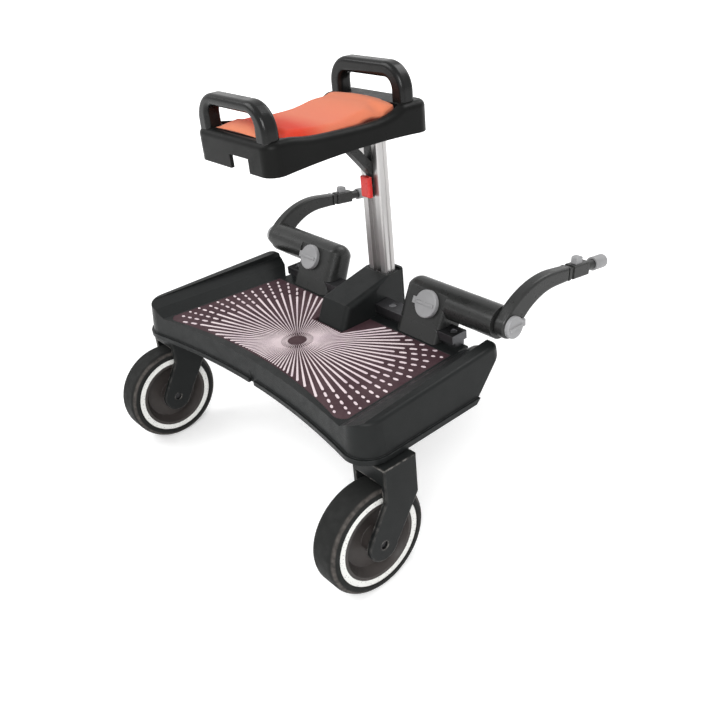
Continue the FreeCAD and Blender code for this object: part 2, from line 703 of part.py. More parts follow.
def make_fork():
    """Castor fork: crown above the wheel and two plates down to the axle."""
    half = FORK_INSIDE / 2 + FORK_LEG
    front = CASTOR_TRAIL - CROWN_DEPTH / 2
    back = CASTOR_TRAIL + CROWN_DEPTH / 2
    crown = box(CASTOR_X - half, CASTOR_X + half, front, back, CROWN_UNDER, CROWN_TOP)
    leg_points = [
        (front, CROWN_TOP),
        (back, CROWN_TOP),
        (back, CROWN_TOP - LEG_BACK_DROP),
        (EYE_BACK, AXLE_Z - EYE_BACK_DROP),
        (-EYE_FRONT, AXLE_Z + EYE_FRONT_RISE),
        (front, CROWN_TOP - LEG_FRONT_DROP),
    ]
    fork = crown
    for x in (CASTOR_X - half, CASTOR_X + half - FORK_LEG):
        leg = prism_x(leg_points, x, x + FORK_LEG).fuse(rod((x, 0, AXLE_Z), ACROSS, FORK_EYE, FORK_LEG))
        fork = fork.fuse(leg)
    fork = fork.removeSplitter()
    outer = (CASTOR_X - half, CASTOR_X + half)
    fork = fillet(
        fork,
        FORK_ROUND,
        lambda e: any(near(v, middle(e).x) for v in outer) and middle(e).z < CROWN_TOP - FORK_ROUND,
    )
    fork = fork.cut(rod((CASTOR_X - half, 0, AXLE_Z), ACROSS, AXLE_RADIUS + BUSH_PLAY, 2 * half))
    return fork.cut(rod((CASTOR_X, CASTOR_TRAIL, CROWN_UNDER), UP, STEM_RADIUS + BUSH_PLAY, CROWN_HEIGHT))


def make_stem():
    """Steel stem from the crown into the deck."""
    top = CLIP_LEVEL + CLIP_HEIGHT + CROWN_GAP
    return rod((CASTOR_X, CASTOR_TRAIL, CROWN_UNDER), UP, STEM_RADIUS, top - CROWN_UNDER)


def make_stem_clip():
    """Ring on the stem above its upper bush."""
    z = CLIP_LEVEL + FACE_GAP
    return tube((CASTOR_X, CASTOR_TRAIL, z), UP, STEM_RADIUS + CLIP_WALL, STEM_RADIUS + RUN_PLAY, CLIP_HEIGHT)


def make_axle():
    """Wheel axle, its ends a little inside the fork's eyes."""
    half = FORK_INSIDE / 2 + FORK_LEG - AXLE_RECESS
    return rod((CASTOR_X - half, 0, AXLE_Z), ACROSS, AXLE_RADIUS, 2 * half)


def turned(profile):
    """Solid of revolution about the axle, from (x, radius) points."""
    wire = Part.makePolygon([V(x, 0, r) for x, r in profile + profile[:1]])
    solid = Part.Face(wire).revolve(V(0, 0, 0), ACROSS, 360)
    return solid.translated(V(CASTOR_X, 0, AXLE_Z))


def make_wheel_disc():
    """Moulded wheel: hub, dished web and rim with a groove on both faces for the reflector ring."""
    bore = AXLE_RADIUS + RUN_PLAY + WHEEL_BUSH_WALL
    hub = FORK_INSIDE / 2 - HUB_END_GAP
    rim = TYRE_WIDTH / 2 - RING_DEPTH
    outer = WHEEL_RADIUS - TYRE_DEPTH
    web = DISC_WEB / 2
    inner = RING_OUTER - RING_BAND - DISC_RIM / 2
    slope = inner - DISC_RIM
    ring = RING_OUTER - RING_BAND
    half = [(hub, bore), (hub, HUB_RADIUS), (web, HUB_RADIUS), (web, slope), (rim, inner), (rim, ring)]
    half += [(rim - RING_DEPTH, ring), (rim - RING_DEPTH, RING_OUTER), (rim, RING_OUTER), (rim, outer)]
    return turned(half + [(-x, r) for x, r in reversed(half)])


def make_tyre():
    """Solid tyre with rounded shoulders."""
    half = TYRE_WIDTH / 2
    inner = WHEEL_RADIUS - TYRE_DEPTH + RUN_PLAY
    tyre = turned([(-half, inner), (half, inner), (half, WHEEL_RADIUS), (-half, WHEEL_RADIUS)])
    return fillet(tyre, TYRE_ROUND, lambda e: near(e.BoundBox.ZLength, 2 * WHEEL_RADIUS, 0.1))


def make_rings():
    """Pale reflector ring in the groove of each wheel face."""
    rings = []
    outer = RING_OUTER - BUSH_PLAY
    inner = RING_OUTER - RING_BAND + BUSH_PLAY
    seat = TYRE_WIDTH / 2 - 2 * RING_DEPTH
    for side in (-1, 1):
        start = (CASTOR_X + side * seat, 0, AXLE_Z)
        rings.append(tube(start, (side, 0, 0), outer, inner, RING_DEPTH))
    return Part.makeCompound(rings)


def make_wheel_bushes():
    """Two bushes in the hub that run on the axle."""
    bushes = []
    hub = FORK_INSIDE / 2 - HUB_END_GAP
    outer = AXLE_RADIUS + WHEEL_BUSH_WALL
    for side in (-1, 1):
        start = (CASTOR_X + side * hub, 0, AXLE_Z)
        bushes.append(tube(start, (-side, 0, 0), outer, AXLE_RADIUS + RUN_PLAY, WHEEL_BUSH_LENGTH))
    return Part.makeCompound(bushes)


def on_face(x, out, up=0.0):
    """Point on the shoulder's tilted knob face: x across, out from the face, up along it."""
    return V(x, PIVOT_Y, PIVOT_Z) + FACE_OUT * (FACE_OFFSET + out) + FACE_UP * up


def shoulder_profile():
    """Side view of the clamp block: tilted face, round top, back wall and foot."""
    rise = math.sqrt(TUBE_RADIUS ** 2 - FACE_OFFSET ** 2)
    foot = FLOOR_TOP + FACE_GAP
    face_foot = on_face(SHOULDER_IN, 0, FACE_FOOT)
    face_top = on_face(SHOULDER_IN, 0, rise)
    crest = V(SHOULDER_IN, PIVOT_Y, PIVOT_Z + TUBE_RADIUS)
    back = V(SHOULDER_IN, PIVOT_Y + TUBE_RADIUS, PIVOT_Z)
    back_foot = V(SHOULDER_IN, RAIL_Y + RAIL_HEAD / 2 + SHOULDER_LIP, foot)
    edges = [
        line(face_foot, face_top),
        arc(face_top, crest, back),
        line(back, back_foot),
        line(back_foot, face_foot),
    ]
    return Part.Face(Part.Wire(edges))


def make_shoulder():
    """Clamp block on the rail with its tilted knob face and the tube out to the arm."""
    block = shoulder_profile().extrude(V(SHOULDER_OUT - SHOULDER_IN, 0, 0))
    foot = FLOOR_TOP + FACE_GAP
    for x, radius in ((SHOULDER_OUT, SHOULDER_ROUND), (SHOULDER_IN, SHOULDER_NOSE)):
        block = fillet(block, radius, lambda e: near(x, middle(e).x) and not near(middle(e).z, foot))
    start = SHOULDER_IN + SHOULDER_NOSE
    body = block.fuse(rod((start, PIVOT_Y, PIVOT_Z), ACROSS, TUBE_RADIUS, TUBE_END - start))
    face = on_face(SHOULDER_IN, 0, -TUBE_RADIUS)
    flat_end = max(SHOULDER_OUT, KNOB_X + KNOB_RADIUS + KNOB_TAB + FACE_GAP)
    shave = Part.makeBox(flat_end - SHOULDER_IN, 2 * TUBE_RADIUS, TUBE_RADIUS)
    shave.Placement = FreeCAD.Placement(face, FreeCAD.Rotation(ACROSS, FACE_UP, FACE_OUT, "XYZ"))
    body = body.cut(shave)
    body = body.cut(prism_x(rail_section(SLIDE_PLAY), 0, TUBE_END))
    bore = on_face(KNOB_X, 0, -KNOB_DROP)
    body = body.cut(rod(bore, -FACE_OUT, KNOB_SHAFT + RUN_PLAY, KNOB_SHAFT_LENGTH + FACE_GAP))
    return body.cut(rod((TUBE_END, PIVOT_Y, PIVOT_Z), -ACROSS, PIVOT_BOLT + BUSH_PLAY, PIVOT_BOLT_IN))


def disc_knob(centre, out, tab_way, radius, thick):
    """Flat round knob with a finger tab on its rim and a low bar across its face."""
    disc = rod(centre, out, radius, thick)
    disc = fillet(disc, KNOB_EDGE, lambda e: near((middle(e) - V(*centre)).dot(out), thick))
    side = out.cross(tab_way)
    start = centre - side * (KNOB_TAB_WIDTH / 2)
    tab = Part.makeBox(radius + KNOB_TAB, KNOB_TAB_WIDTH, thick - KNOB_TAB_DROP)
    tab.Placement = FreeCAD.Placement(start, FreeCAD.Rotation(tab_way, side, out, "XYZ"))
    start = centre - side * (KNOB_BAR_WIDTH / 2) - tab_way * (radius - 2 * KNOB_EDGE)
    start = start + out * (thick - KNOB_BAR)
    bar = Part.makeBox(2 * radius - 4 * KNOB_EDGE, KNOB_BAR_WIDTH, 2 * KNOB_BAR)
    bar.Placement = FreeCAD.Placement(start, FreeCAD.Rotation(tab_way, side, out, "XYZ"))
    return disc.fuse(tab).fuse(bar).removeSplitter()


def make_track_knob(side):
    """Grey knob on the tilted face; on both sides its tab points to the left."""
    centre = on_face(side * KNOB_X, FACE_GAP, -KNOB_DROP)
    return disc_knob(centre, FACE_OUT, V(-1, 0, 0), KNOB_RADIUS, KNOB_THICK)


def make_lock_shaft(side):
    """Steel shaft of the track knob inside the shoulder."""
    return rod(on_face(side * KNOB_X, FACE_GAP, -KNOB_DROP), -FACE_OUT, KNOB_SHAFT, KNOB_SHAFT_LENGTH)


def make_arm():
    """Curved arm from the pivot up, over and towards the pushchair."""
    start = math.radians(ARM_START)
    centre = V(ARM_IN, PIVOT_Y + ARM_CURVE * math.sin(start), PIVOT_Z - ARM_CURVE * math.cos(start))

    def at(turn, offset):
        radius = ARM_CURVE + offset
        return centre + V(0, -radius * math.sin(turn), radius * math.cos(turn))

    half_turn = (start - DROP) / 2
    mid_half = (ARM_ROOT + ARM_END_HALF) / 2
    end = at(-DROP, 0) + ARM_ALONG * ARM_STRAIGHT
    top_end = end + ARM_NORMAL * COUPLER_HALF
    low_end = end - ARM_NORMAL * COUPLER_HALF
    edges = [
        arc(at(start, ARM_ROOT), at(half_turn, mid_half), at(-DROP, ARM_END_HALF)),
        line(at(-DROP, ARM_END_HALF), top_end),
        line(top_end, low_end),
        line(low_end, at(-DROP, -ARM_END_HALF)),
        arc(at(-DROP, -ARM_END_HALF), at(half_turn, -mid_half), at(start, -ARM_ROOT)),
        line(at(start, -ARM_ROOT), at(start, ARM_ROOT)),
    ]
    blade = Part.Face(Part.Wire(edges)).extrude(V(ARM_THICK, 0, 0))
    arm = blade.fuse(rod((ARM_IN, PIVOT_Y, PIVOT_Z), ACROSS, ARM_ROOT, ARM_THICK)).removeSplitter()
    arm = fillet(arm, ARM_ROUND, lambda e: near(middle(e).x, ARM_IN) or near(middle(e).x, ARM_OUT))
    return arm.cut(rod((ARM_IN, PIVOT_Y, PIVOT_Z), ACROSS, PIVOT_BOLT + RUN_PLAY, ARM_THICK))


def arm_end():
    """Middle of the arm's end face."""
    start = math.radians(ARM_START)
    y = PIVOT_Y + ARM_CURVE * (math.sin(start) + math.sin(DROP))
    z = PIVOT_Z + ARM_CURVE * (math.cos(DROP) - math.cos(start))
    return V((ARM_IN + ARM_OUT) / 2, y, z) + ARM_ALONG * ARM_STRAIGHT


def arm_block(along_from, along_to, half_width, low, high):
    """Block in the arm's own directions, measured from the arm's end."""
    corner = arm_end() + ARM_ALONG * along_from - ACROSS * half_width + ARM_NORMAL * low
    block = Part.makeBox(2 * half_width, along_to - along_from, high - low)
    block.Placement = FreeCAD.Placement(corner, FreeCAD.Rotation(ACROSS, ARM_ALONG, ARM_NORMAL, "XYZ"))
    return block


def make_coupler():
    """Coupler on the arm's end: body with a groove, tab pocket and round neck."""
    half = ARM_THICK / 2
    body = arm_block(0, COUPLER_LENGTH, half, -COUPLER_HALF, COUPLER_HALF)
    body = fillet(body, COUPLER_ROUND, lambda e: along(e, ARM_ALONG))
    waist = arm_block(COUPLER_GROOVE / 2, 1.5 * COUPLER_GROOVE, 2 * half, -2 * COUPLER_HALF, 2 * COUPLER_HALF)
    core = half - COUPLER_GROOVE_DEPTH
    high = COUPLER_HALF - COUPLER_GROOVE_DEPTH
    body = body.cut(waist.cut(arm_block(0, 2 * COUPLER_GROOVE, core, -high, high)))
    neck = rod(arm_end() + ARM_ALONG * COUPLER_LENGTH, ARM_ALONG, COUPLER_NECK, COUPLER_NECK_LENGTH)
    body = body.fuse(neck)
    tab_end = TAB_AT + TAB_LENGTH
    half_tab = TAB_WIDTH / 2 + FACE_GAP
    return body.cut(arm_block(TAB_AT - FACE_GAP, tab_end + FACE_GAP, half_tab, SPRING_SEAT, 2 * COUPLER_HALF))


def make_release_tab():
    """Grey tab that is pressed into the coupler."""
    tab = arm_block(TAB_AT, TAB_AT + TAB_LENGTH, TAB_WIDTH / 2, TAB_FLOOR, COUPLER_HALF + TAB_PROUD)
    end = arm_end()
    return fillet(
        tab,
        COUPLER_ROUND,
        lambda e: along(e, ACROSS) and (middle(e) - end).dot(ARM_NORMAL) > COUPLER_HALF,
    )


def make_release_spring():
    """Short sleeve in the place of the tab's return spring."""
    start = arm_end() + ARM_ALONG * (TAB_AT + TAB_LENGTH / 2) + ARM_NORMAL * SPRING_SEAT
    return tube(start, ARM_NORMAL, TAB_SPRING_RADIUS, TAB_SPRING_RADIUS - SPRING_WALL, TAB_TRAVEL)


def make_coupling_pin():
    """Grey round end that plugs into the pushchair's connector."""
    start = arm_end() + ARM_ALONG * (COUPLER_LENGTH + COUPLER_NECK_LENGTH)
    pin = rod(start, ARM_ALONG, PIN_RADIUS, PIN_LENGTH)
    return fillet(pin, PIN_ROUND, lambda e: near((middle(e) - start).dot(ARM_ALONG), PIN_LENGTH))


def make_pivot_bolt():
    """Bolt from the tube through the arm into the pivot knob."""
    length = PIVOT_BOLT_IN + FACE_GAP + ARM_THICK + FACE_GAP + PIVOT_BOLT_SEAT
    return rod((TUBE_END - PIVOT_BOLT_IN, PIVOT_Y, PIVOT_Z), ACROSS, PIVOT_BOLT, length)


def make_pivot_knob():
    """Grey knob on the outer end of the pivot."""
    centre = V(ARM_OUT + FACE_GAP, PIVOT_Y, PIVOT_Z)
    knob = disc_knob(centre, ACROSS, V(0, 1, 0), PIVOT_KNOB_RADIUS, PIVOT_KNOB_THICK)
    return knob.cut(rod(centre, ACROSS, PIVOT_BOLT + RUN_PLAY, PIVOT_BOLT_SEAT))


def make_saddle_post():
    """Aluminium extrusion: hollow, with a groove in front and flutes on its faces."""
    post = round_block(
        -POST_WIDTH / 2, POST_WIDTH / 2, POST_FRONT, POST_BACK, POST_BOTTOM, POST_TOP, POST_ROUND
    )
    height = POST_TOP - POST_BOTTOM
    floor = POST_FRONT + GROOVE_DEPTH
    post = post.cut(box(-GROOVE_WIDTH / 2, GROOVE_WIDTH / 2, POST_FRONT, floor, POST_BOTTOM, POST_TOP))
    half = POST_WIDTH / 2 - POST_WALL
    post = post.cut(box(-half, half, floor + POST_WALL, POST_BACK - POST_WALL, POST_BOTTOM, POST_TOP))
    for x in (-FLUTE_PITCH, 0, FLUTE_PITCH):
        post = post.cut(rod((x, POST_BACK, POST_BOTTOM), UP, FLUTE_RADIUS, height))
    for x in (-POST_WIDTH / 2, POST_WIDTH / 2):
        post = post.cut(rod((x, POST_Y, POST_BOTTOM), UP, FLUTE_RADIUS, height))
    return post


def make_saddle_bracket():
    """Bar in the post's groove, strut and top plate under the saddle shell."""
    half = BRACKET_WIDTH / 2
    bar_back = POST_FRONT + GROOVE_DEPTH - BAR_PLAY
    bar_front = POST_FRONT - BAR_PLAY
    plate_front = POST_FRONT - STRUT_REACH
    under = SADDLE_BOTTOM - BRACKET_TOP
    bar = box(-half, half, bar_front, bar_back, BAR_FOOT, SADDLE_BOTTOM)
    plate = box(-half, half, plate_front, bar_back, under, SADDLE_BOTTOM)
    strut_foot = SADDLE_BOTTOM - STRUT_FOOT
    strut = prism_x(
        [
            (plate_front, under),
            (bar_front, strut_foot),
            (bar_front, strut_foot + STRUT_ROOT),
            (plate_front + STRUT_TOP, under),
        ],
        -half,
        half,
    )
    bracket = bar.fuse(plate).fuse(strut).removeSplitter()
    return bracket.cut(
        rod((0, bar_front, BAR_FOOT + LOCK_HEIGHT / 2), (0, 1, 0), LOCK_STEM + RUN_PLAY, GROOVE_DEPTH)
    )


def make_lock_button():
    """Red button below the strut, with the stem that runs in the bar."""
    z = BAR_FOOT + LOCK_HEIGHT / 2
    pad = box(
        -LOCK_WIDTH / 2, LOCK_WIDTH / 2, LOCK_BACK - LOCK_DEPTH, LOCK_BACK, BAR_FOOT, BAR_FOOT + LOCK_HEIGHT
    )
    pad = fillet(pad, LOCK_ROUND, lambda e: near(middle(e).y, LOCK_BACK - LOCK_DEPTH))
    return pad.fuse(rod((0, LOCK_BACK, z), (0, 1, 0), LOCK_STEM, LOCK_STEM_LENGTH))


def make_lock_spring():
    """Short sleeve in the place of the button's return spring."""
    z = BAR_FOOT + LOCK_HEIGHT / 2
    inner = LOCK_STEM + SPRING_PLAY
    return tube((0, LOCK_BACK, z), (0, 1, 0), inner + SPRING_WALL, inner, LOCK_TRAVEL + FACE_GAP)


def saddle_block(inset, z0, z1, radius):
    """Block with the saddle's plan between two levels."""
    w = SADDLE_HALF_WIDTH - inset
    return round_block(-w, w, SADDLE_FRONT + inset, SADDLE_BACK - inset, z0, z1, radius)


def dip_point(share, depth, start, end):
    """Point of the shell's top line, by its share of the way between two places."""
    return V(-SADDLE_HALF_WIDTH, start + (end - start) * share, SADDLE_TOP - SADDLE_DIP * depth)


def saddle_blank():
    """Solid shell: rounded plan, top level under the handles and dipped between them."""
    x = -SADDLE_HALF_WIDTH
    dip = Part.BSplineCurve()
    points = [dip_point(share, depth, SEAT_FRONT, SEAT_BACK) for share, depth in DIP_LINE]
    dip.interpolate(Points=points, InitialTangent=V(0, 1, 0), FinalTangent=V(0, 1, 0))
    edges = [
        line((x, SADDLE_FRONT, SADDLE_BOTTOM), (x, SADDLE_FRONT, SADDLE_TOP)),
        line((x, SADDLE_FRONT, SADDLE_TOP), points[0]),
        dip.toShape(),
        line(points[-1], (x, SADDLE_BACK, SADDLE_TOP)),
        line((x, SADDLE_BACK, SADDLE_TOP), (x, SADDLE_BACK, SADDLE_BOTTOM)),
        line((x, SADDLE_BACK, SADDLE_BOTTOM), (x, SADDLE_FRONT, SADDLE_BOTTOM)),
    ]
    side_view = Part.Face(Part.Wire(edges)).extrude(V(2 * SADDLE_HALF_WIDTH, 0, 0))
    body = side_view.common(saddle_block(0, SADDLE_BOTTOM, SADDLE_TOP, SADDLE_ROUND))
    ends = (SADDLE_FRONT, SADDLE_BACK)
    lowest = SADDLE_TOP - SADDLE_DIP
    return fillet(
        body,
        SADDLE_EDGE,
        lambda e: middle(e).z > lowest - SADDLE_EDGE
        and not along(e, UP)
        and (not along(e, ACROSS) or any(near(v, middle(e).y) for v in ends)),
    )


def handle_screw_places():
    """Plan positions of the handle screws, one under each leg."""
    x = HANDLE_HALF_WIDTH - HANDLE_LEG / 2
    return [(side * x, y) for y in (FRONT_HANDLE_Y, REAR_HANDLE_Y) for side in (-1, 1)]


def make_saddle_shell():
    """Tray under the pad: walls, seat panel, notch in front and the sleeve for the post."""
    body = saddle_blank()
    half = SADDLE_HALF_WIDTH - SEAT_RIM
    body = body.cut(round_block(-half, half, SEAT_FRONT, SEAT_BACK, SEAT_TOP, SADDLE_TOP + WALL, SEAT_ROUND))
    under = SEAT_TOP - SEAT_PANEL
    low = SADDLE_BOTTOM - WALL
    hollow = saddle_block(SADDLE_WALL, low, under, SADDLE_ROUND - SADDLE_WALL)
    ends = saddle_block(SADDLE_WALL, low, SADDLE_TOP - SEAT_PANEL, SADDLE_ROUND - SADDLE_WALL)
    wide = 2 * SADDLE_HALF_WIDTH
    between = box(-wide, wide, SEAT_FRONT - SADDLE_WALL, SEAT_BACK + SADDLE_WALL, low, SADDLE_TOP)
    hollow = hollow.fuse(ends.cut(between))
    sleeve = post_slot(POST_PLAY + SLEEVE_WALL, SADDLE_BOTTOM, under)
    ridge_half = BRACKET_WIDTH / 2 + SLEEVE_WALL
    ridge = box(-ridge_half, ridge_half, POST_FRONT - STRUT_REACH, POST_FRONT, SADDLE_BOTTOM, under)
    body = body.cut(hollow.cut(sleeve.fuse(ridge)))
    body = body.cut(post_slot(POST_PLAY, low, POST_TOP + FACE_GAP))
    for x, y in handle_screw_places():
        body = body.cut(rod((x, y, SADDLE_TOP - SEAT_PANEL), UP, SCREW_RADIUS + SCREW_PLAY, SEAT_PANEL))
    arch_ends = [(y, SADDLE_BOTTOM) for y in (SADDLE_FRONT + SADDLE_ROUND, SADDLE_BACK - SADDLE_ROUND)]
    arch_top = ((SADDLE_FRONT + SADDLE_BACK) / 2, SADDLE_BOTTOM + SADDLE_ARCH)
    for x in (-SADDLE_HALF_WIDTH, SADDLE_HALF_WIDTH - SADDLE_WALL):
        (y0, z0), (y1, z1) = arch_ends
        edges = [arc((x, y0, z0), (x, *arch_top), (x, y1, z1)), line((x, y1, z1), (x, y0, z0))]
        body = body.cut(Part.Face(Part.Wire(edges)).extrude(V(SADDLE_WALL, 0, 0)))
    notch_back = SADDLE_FRONT + SADDLE_ROUND
    notch_top = SADDLE_BOTTOM + SADDLE_NOTCH
    notch = box(-SADDLE_NOTCH_HALF, SADDLE_NOTCH_HALF, SADDLE_FRONT - WALL, notch_back, low, notch_top)
    notch.translate(V(SADDLE_NOTCH_MIDDLE, 0, 0))
    return body.cut(notch)


def make_handle_screws():
    """Screws from inside the shell up into the handle legs."""
    seat = SADDLE_TOP - SEAT_PANEL
    screws = []
    for x, y in handle_screw_places():
        shank = rod((x, y, seat), UP, SCREW_RADIUS, SEAT_PANEL + HANDLE_SCREW_LENGTH)
        screws.append(shank.fuse(rod((x, y, seat), -UP, SCREW_HEAD, SCREW_HEAD_HEIGHT)))
    return Part.makeCompound(screws)


def make_handle(y, rise, bar):
    """Handle that stands on the shell's rounded top: two legs and a rounded top bar."""
    y0 = y - HANDLE_DEPTH / 2
    outer = HANDLE_HALF_WIDTH
    inner = HANDLE_HALF_WIDTH - HANDLE_LEG
    foot = SADDLE_TOP - SADDLE_EDGE
    top = SADDLE_TOP + rise
    hole_top = top - bar
    frame = box(-outer, outer, y0, y0 + HANDLE_DEPTH, foot, top)
    depth = V(0, 1, 0)
    frame = fillet(frame, HANDLE_CORNER, lambda e: along(e, depth) and near(middle(e).z, top))
    hole = box(-inner, inner, y0, y0 + HANDLE_DEPTH, foot, hole_top)
    inner_round = HANDLE_CORNER - HANDLE_LEG
    hole = fillet(hole, inner_round, lambda e: along(e, depth) and near(middle(e).z, hole_top))
    frame = frame.cut(hole)
    faces = (y0, y0 + HANDLE_DEPTH)
    frame = fillet(
        frame,
        HANDLE_EDGE,
        lambda e: any(near(v, middle(e).y) for v in faces) and not near(foot, middle(e).z),
    )
    frame = frame.cut(saddle_blank())
    for x, screw_y in handle_screw_places():
        start = (x, screw_y, SADDLE_TOP)
        frame = frame.cut(rod(start, UP, SCREW_RADIUS + SCREW_PLAY, HANDLE_SCREW_LENGTH + FACE_GAP))
    return frame


def pad_section(y, half, base, edge, crown):
    """Cross-section of the pad: flat foot, upright sides, crowned top."""
    edges = [
        line((-half, y, base), (half, y, base)),
        line((half, y, base), (half, y, edge)),
        arc((half, y, edge), (0, y, edge + crown), (-half, y, edge)),
        line((-half, y, edge), (-half, y, base)),
    ]
    return Part.Wire(edges)


def pad_flap():
    """Front flap of the pad: out of the seat and over the shell's top between the handle's legs."""
    half = HANDLE_HALF_WIDTH - HANDLE_LEG - PAD_GAP
    tip = SADDLE_FRONT + FLAP_INSET
    under = SADDLE_TOP + PAD_SEAT_GAP
    seat = SEAT_FRONT + PAD_GAP
    tucked = seat + FLAP_TUCK
    points = [
        (tip, under),
        (tip, under + FLAP_THICK / 2),
        (tip + FLAP_THICK, under + FLAP_THICK),
        (seat, under + FLAP_THICK),
        (tucked, SADDLE_TOP - FLAP_DROP / 2),
        (tucked, SADDLE_TOP - FLAP_DROP),
        (seat, SADDLE_TOP - FLAP_DROP),
        (seat, under),
    ]
    return prism_x(points, -half, half)


def make_saddle_pad():
    """Soft pad in the seat: edges along the shell's dipped top, crowned across, with its front flap."""
    base = SEAT_TOP + PAD_SEAT_GAP
    half = SADDLE_HALF_WIDTH - SEAT_RIM - PAD_GAP
    sections = []
    for share, depth in DIP_LINE:
        edge = dip_point(share, depth, SEAT_FRONT + PAD_GAP, SEAT_BACK - PAD_GAP)
        tuck = PAD_END_TUCK if share in (0.0, 1.0) else 0.0
        sections.append(pad_section(edge.y, half - tuck, base, edge.z + PAD_PROUD - tuck, PAD_CROWN))
    return Part.makeLoft(sections, True, False).fuse(pad_flap()).removeSplitter()


def make_nodes():
    """Every piece of the board by its node name."""
    nodes = {
        "deck_shell": make_deck_shell(),
        "grip_mat": make_grip_mat(),
        "cross_rail": make_cross_rail(),
        "rail_screws": make_rail_screws(),
        "saddle_socket": make_saddle_socket(),
        "socket_back_plate": make_back_plate(),
        "plate_screws": make_plate_screws(),
        "stem_bushes": make_stem_bushes(),
        "saddle_post": make_saddle_post(),
        "saddle_bracket": make_saddle_bracket(),
        "lock_button": make_lock_button(),
        "lock_spring": make_lock_spring(),
        "saddle_shell": make_saddle_shell(),
        "front_handle": make_handle(FRONT_HANDLE_Y, HANDLE_RISE, HANDLE_BAR),
        "rear_handle": make_handle(REAR_HANDLE_Y, REAR_HANDLE_RISE, REAR_HANDLE_BAR),
        "handle_screws": make_handle_screws(),
        "saddle_pad": make_saddle_pad(),
    }
    pairs = {
        "fork": make_fork(),
        "stem": make_stem(),
        "stem_clip": make_stem_clip(),
        "axle": make_axle(),
        "wheel_disc": make_wheel_disc(),
        "tyre": make_tyre(),
        "reflector_rings": make_rings(),
        "wheel_bushes": make_wheel_bushes(),
        "shoulder": make_shoulder(),
        "arm": make_arm(),
        "coupler": make_coupler(),
        "coupling_pin": make_coupling_pin(),
        "release_tab": make_release_tab(),
        "release_spring": make_release_spring(),
        "pivot_bolt": make_pivot_bolt(),
        "pivot_knob": make_pivot_knob(),
    }
    for name, side in SIDES:
        for piece, shape in pairs.items():
            nodes[name + "_" + piece] = mirrored(shape, side)
        nodes[name + "_track_knob"] = make_track_knob(side)
        nodes[name + "_lock_shaft"] = make_lock_shaft(side)
    return nodes


def foot_centre(nodes):
    """Middle of the foot of the whole board's box."""
    whole = Part.makeCompound(list(nodes.values())).optimalBoundingBox(False)
    return V((whole.XMin + whole.XMax) / 2, (whole.YMin + whole.YMax) / 2, whole.ZMin)


def main():
    """Build the board, move its origin and write one file per piece."""
    os.makedirs("parts", exist_ok=True)
    nodes = make_nodes()
    origin = foot_centre(nodes)
    for name, shape in nodes.items():
        moved = shape.translated(-origin)
        if not moved.isValid():
            print("not valid:", name)
        moved.exportStep("parts/" + name + ".step")
    print(len(nodes), "nodes; origin moved from", tuple(round(c, 3) for c in origin))


main()
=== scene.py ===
"""Looks of the buggy board with saddle: materials, saddle cushion, mat burst, studio and camera.

Metres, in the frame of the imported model: +X across the board, +Y to the pushchair, +Z up.
"""
import bmesh
import bpy
import math
from mathutils import Matrix, Vector


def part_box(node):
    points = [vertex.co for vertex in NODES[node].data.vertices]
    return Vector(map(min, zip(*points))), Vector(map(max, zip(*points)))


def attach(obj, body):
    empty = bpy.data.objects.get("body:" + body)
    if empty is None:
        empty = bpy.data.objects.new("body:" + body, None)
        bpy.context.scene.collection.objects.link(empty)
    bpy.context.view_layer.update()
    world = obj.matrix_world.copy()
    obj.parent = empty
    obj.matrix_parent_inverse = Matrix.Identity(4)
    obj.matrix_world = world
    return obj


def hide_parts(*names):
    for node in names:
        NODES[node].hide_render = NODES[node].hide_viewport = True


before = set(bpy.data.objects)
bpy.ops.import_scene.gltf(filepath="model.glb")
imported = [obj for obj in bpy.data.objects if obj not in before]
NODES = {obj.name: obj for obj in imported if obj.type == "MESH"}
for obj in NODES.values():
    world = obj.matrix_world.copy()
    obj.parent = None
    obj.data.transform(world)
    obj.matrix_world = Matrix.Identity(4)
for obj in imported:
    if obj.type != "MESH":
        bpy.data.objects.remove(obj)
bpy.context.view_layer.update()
MM = 0.001

# Camera, fitted to the photo: angles in degrees, lens and sensor in millimetres
CAMERA_PLACE = Vector((0.6566, -0.4903, 0.5666))
CAMERA_AZIMUTH = 52.59
CAMERA_ELEVATION = 29.41
CAMERA_ROLL = -5.73
CAMERA_LENS = 42.07
SENSOR = 36.0

# Colours that more than one place uses
WHITE = (1.0, 1.0, 1.0, 1.0)
BLACK = (0.0095, 0.0105, 0.0105)
PAD_ORANGE = (0.76, 0.235, 0.130)
# PAD_SHADE is painted shade: deep red in the pad's hollow and in the gaps of its knit
PAD_SHADE = (0.70, 0.045, 0.018)

# Range that most of a noise lies in
NOISE_LOW = 0.3
NOISE_HIGH = 0.7

# Edges: radius of their softening, likeness of the softened normal to the true one
# on open faces and at sharp edges, and the angle in degrees that is shaded sharp
PLASTIC_EDGE = 0.7 * MM
METAL_EDGE = 0.4 * MM
OPEN_FACE = 0.99
SHARP_EDGE = 0.75
CREASE_ANGLE = 28.0

# Pale band on the tyres' rubbed shoulders, partly dirt and partly painted highlight: depths
# below the tread where it starts and is full
BAND_OUTER = (0.8 * MM, 2.0 * MM)
BAND_INNER = (4.8 * MM, 3.4 * MM)

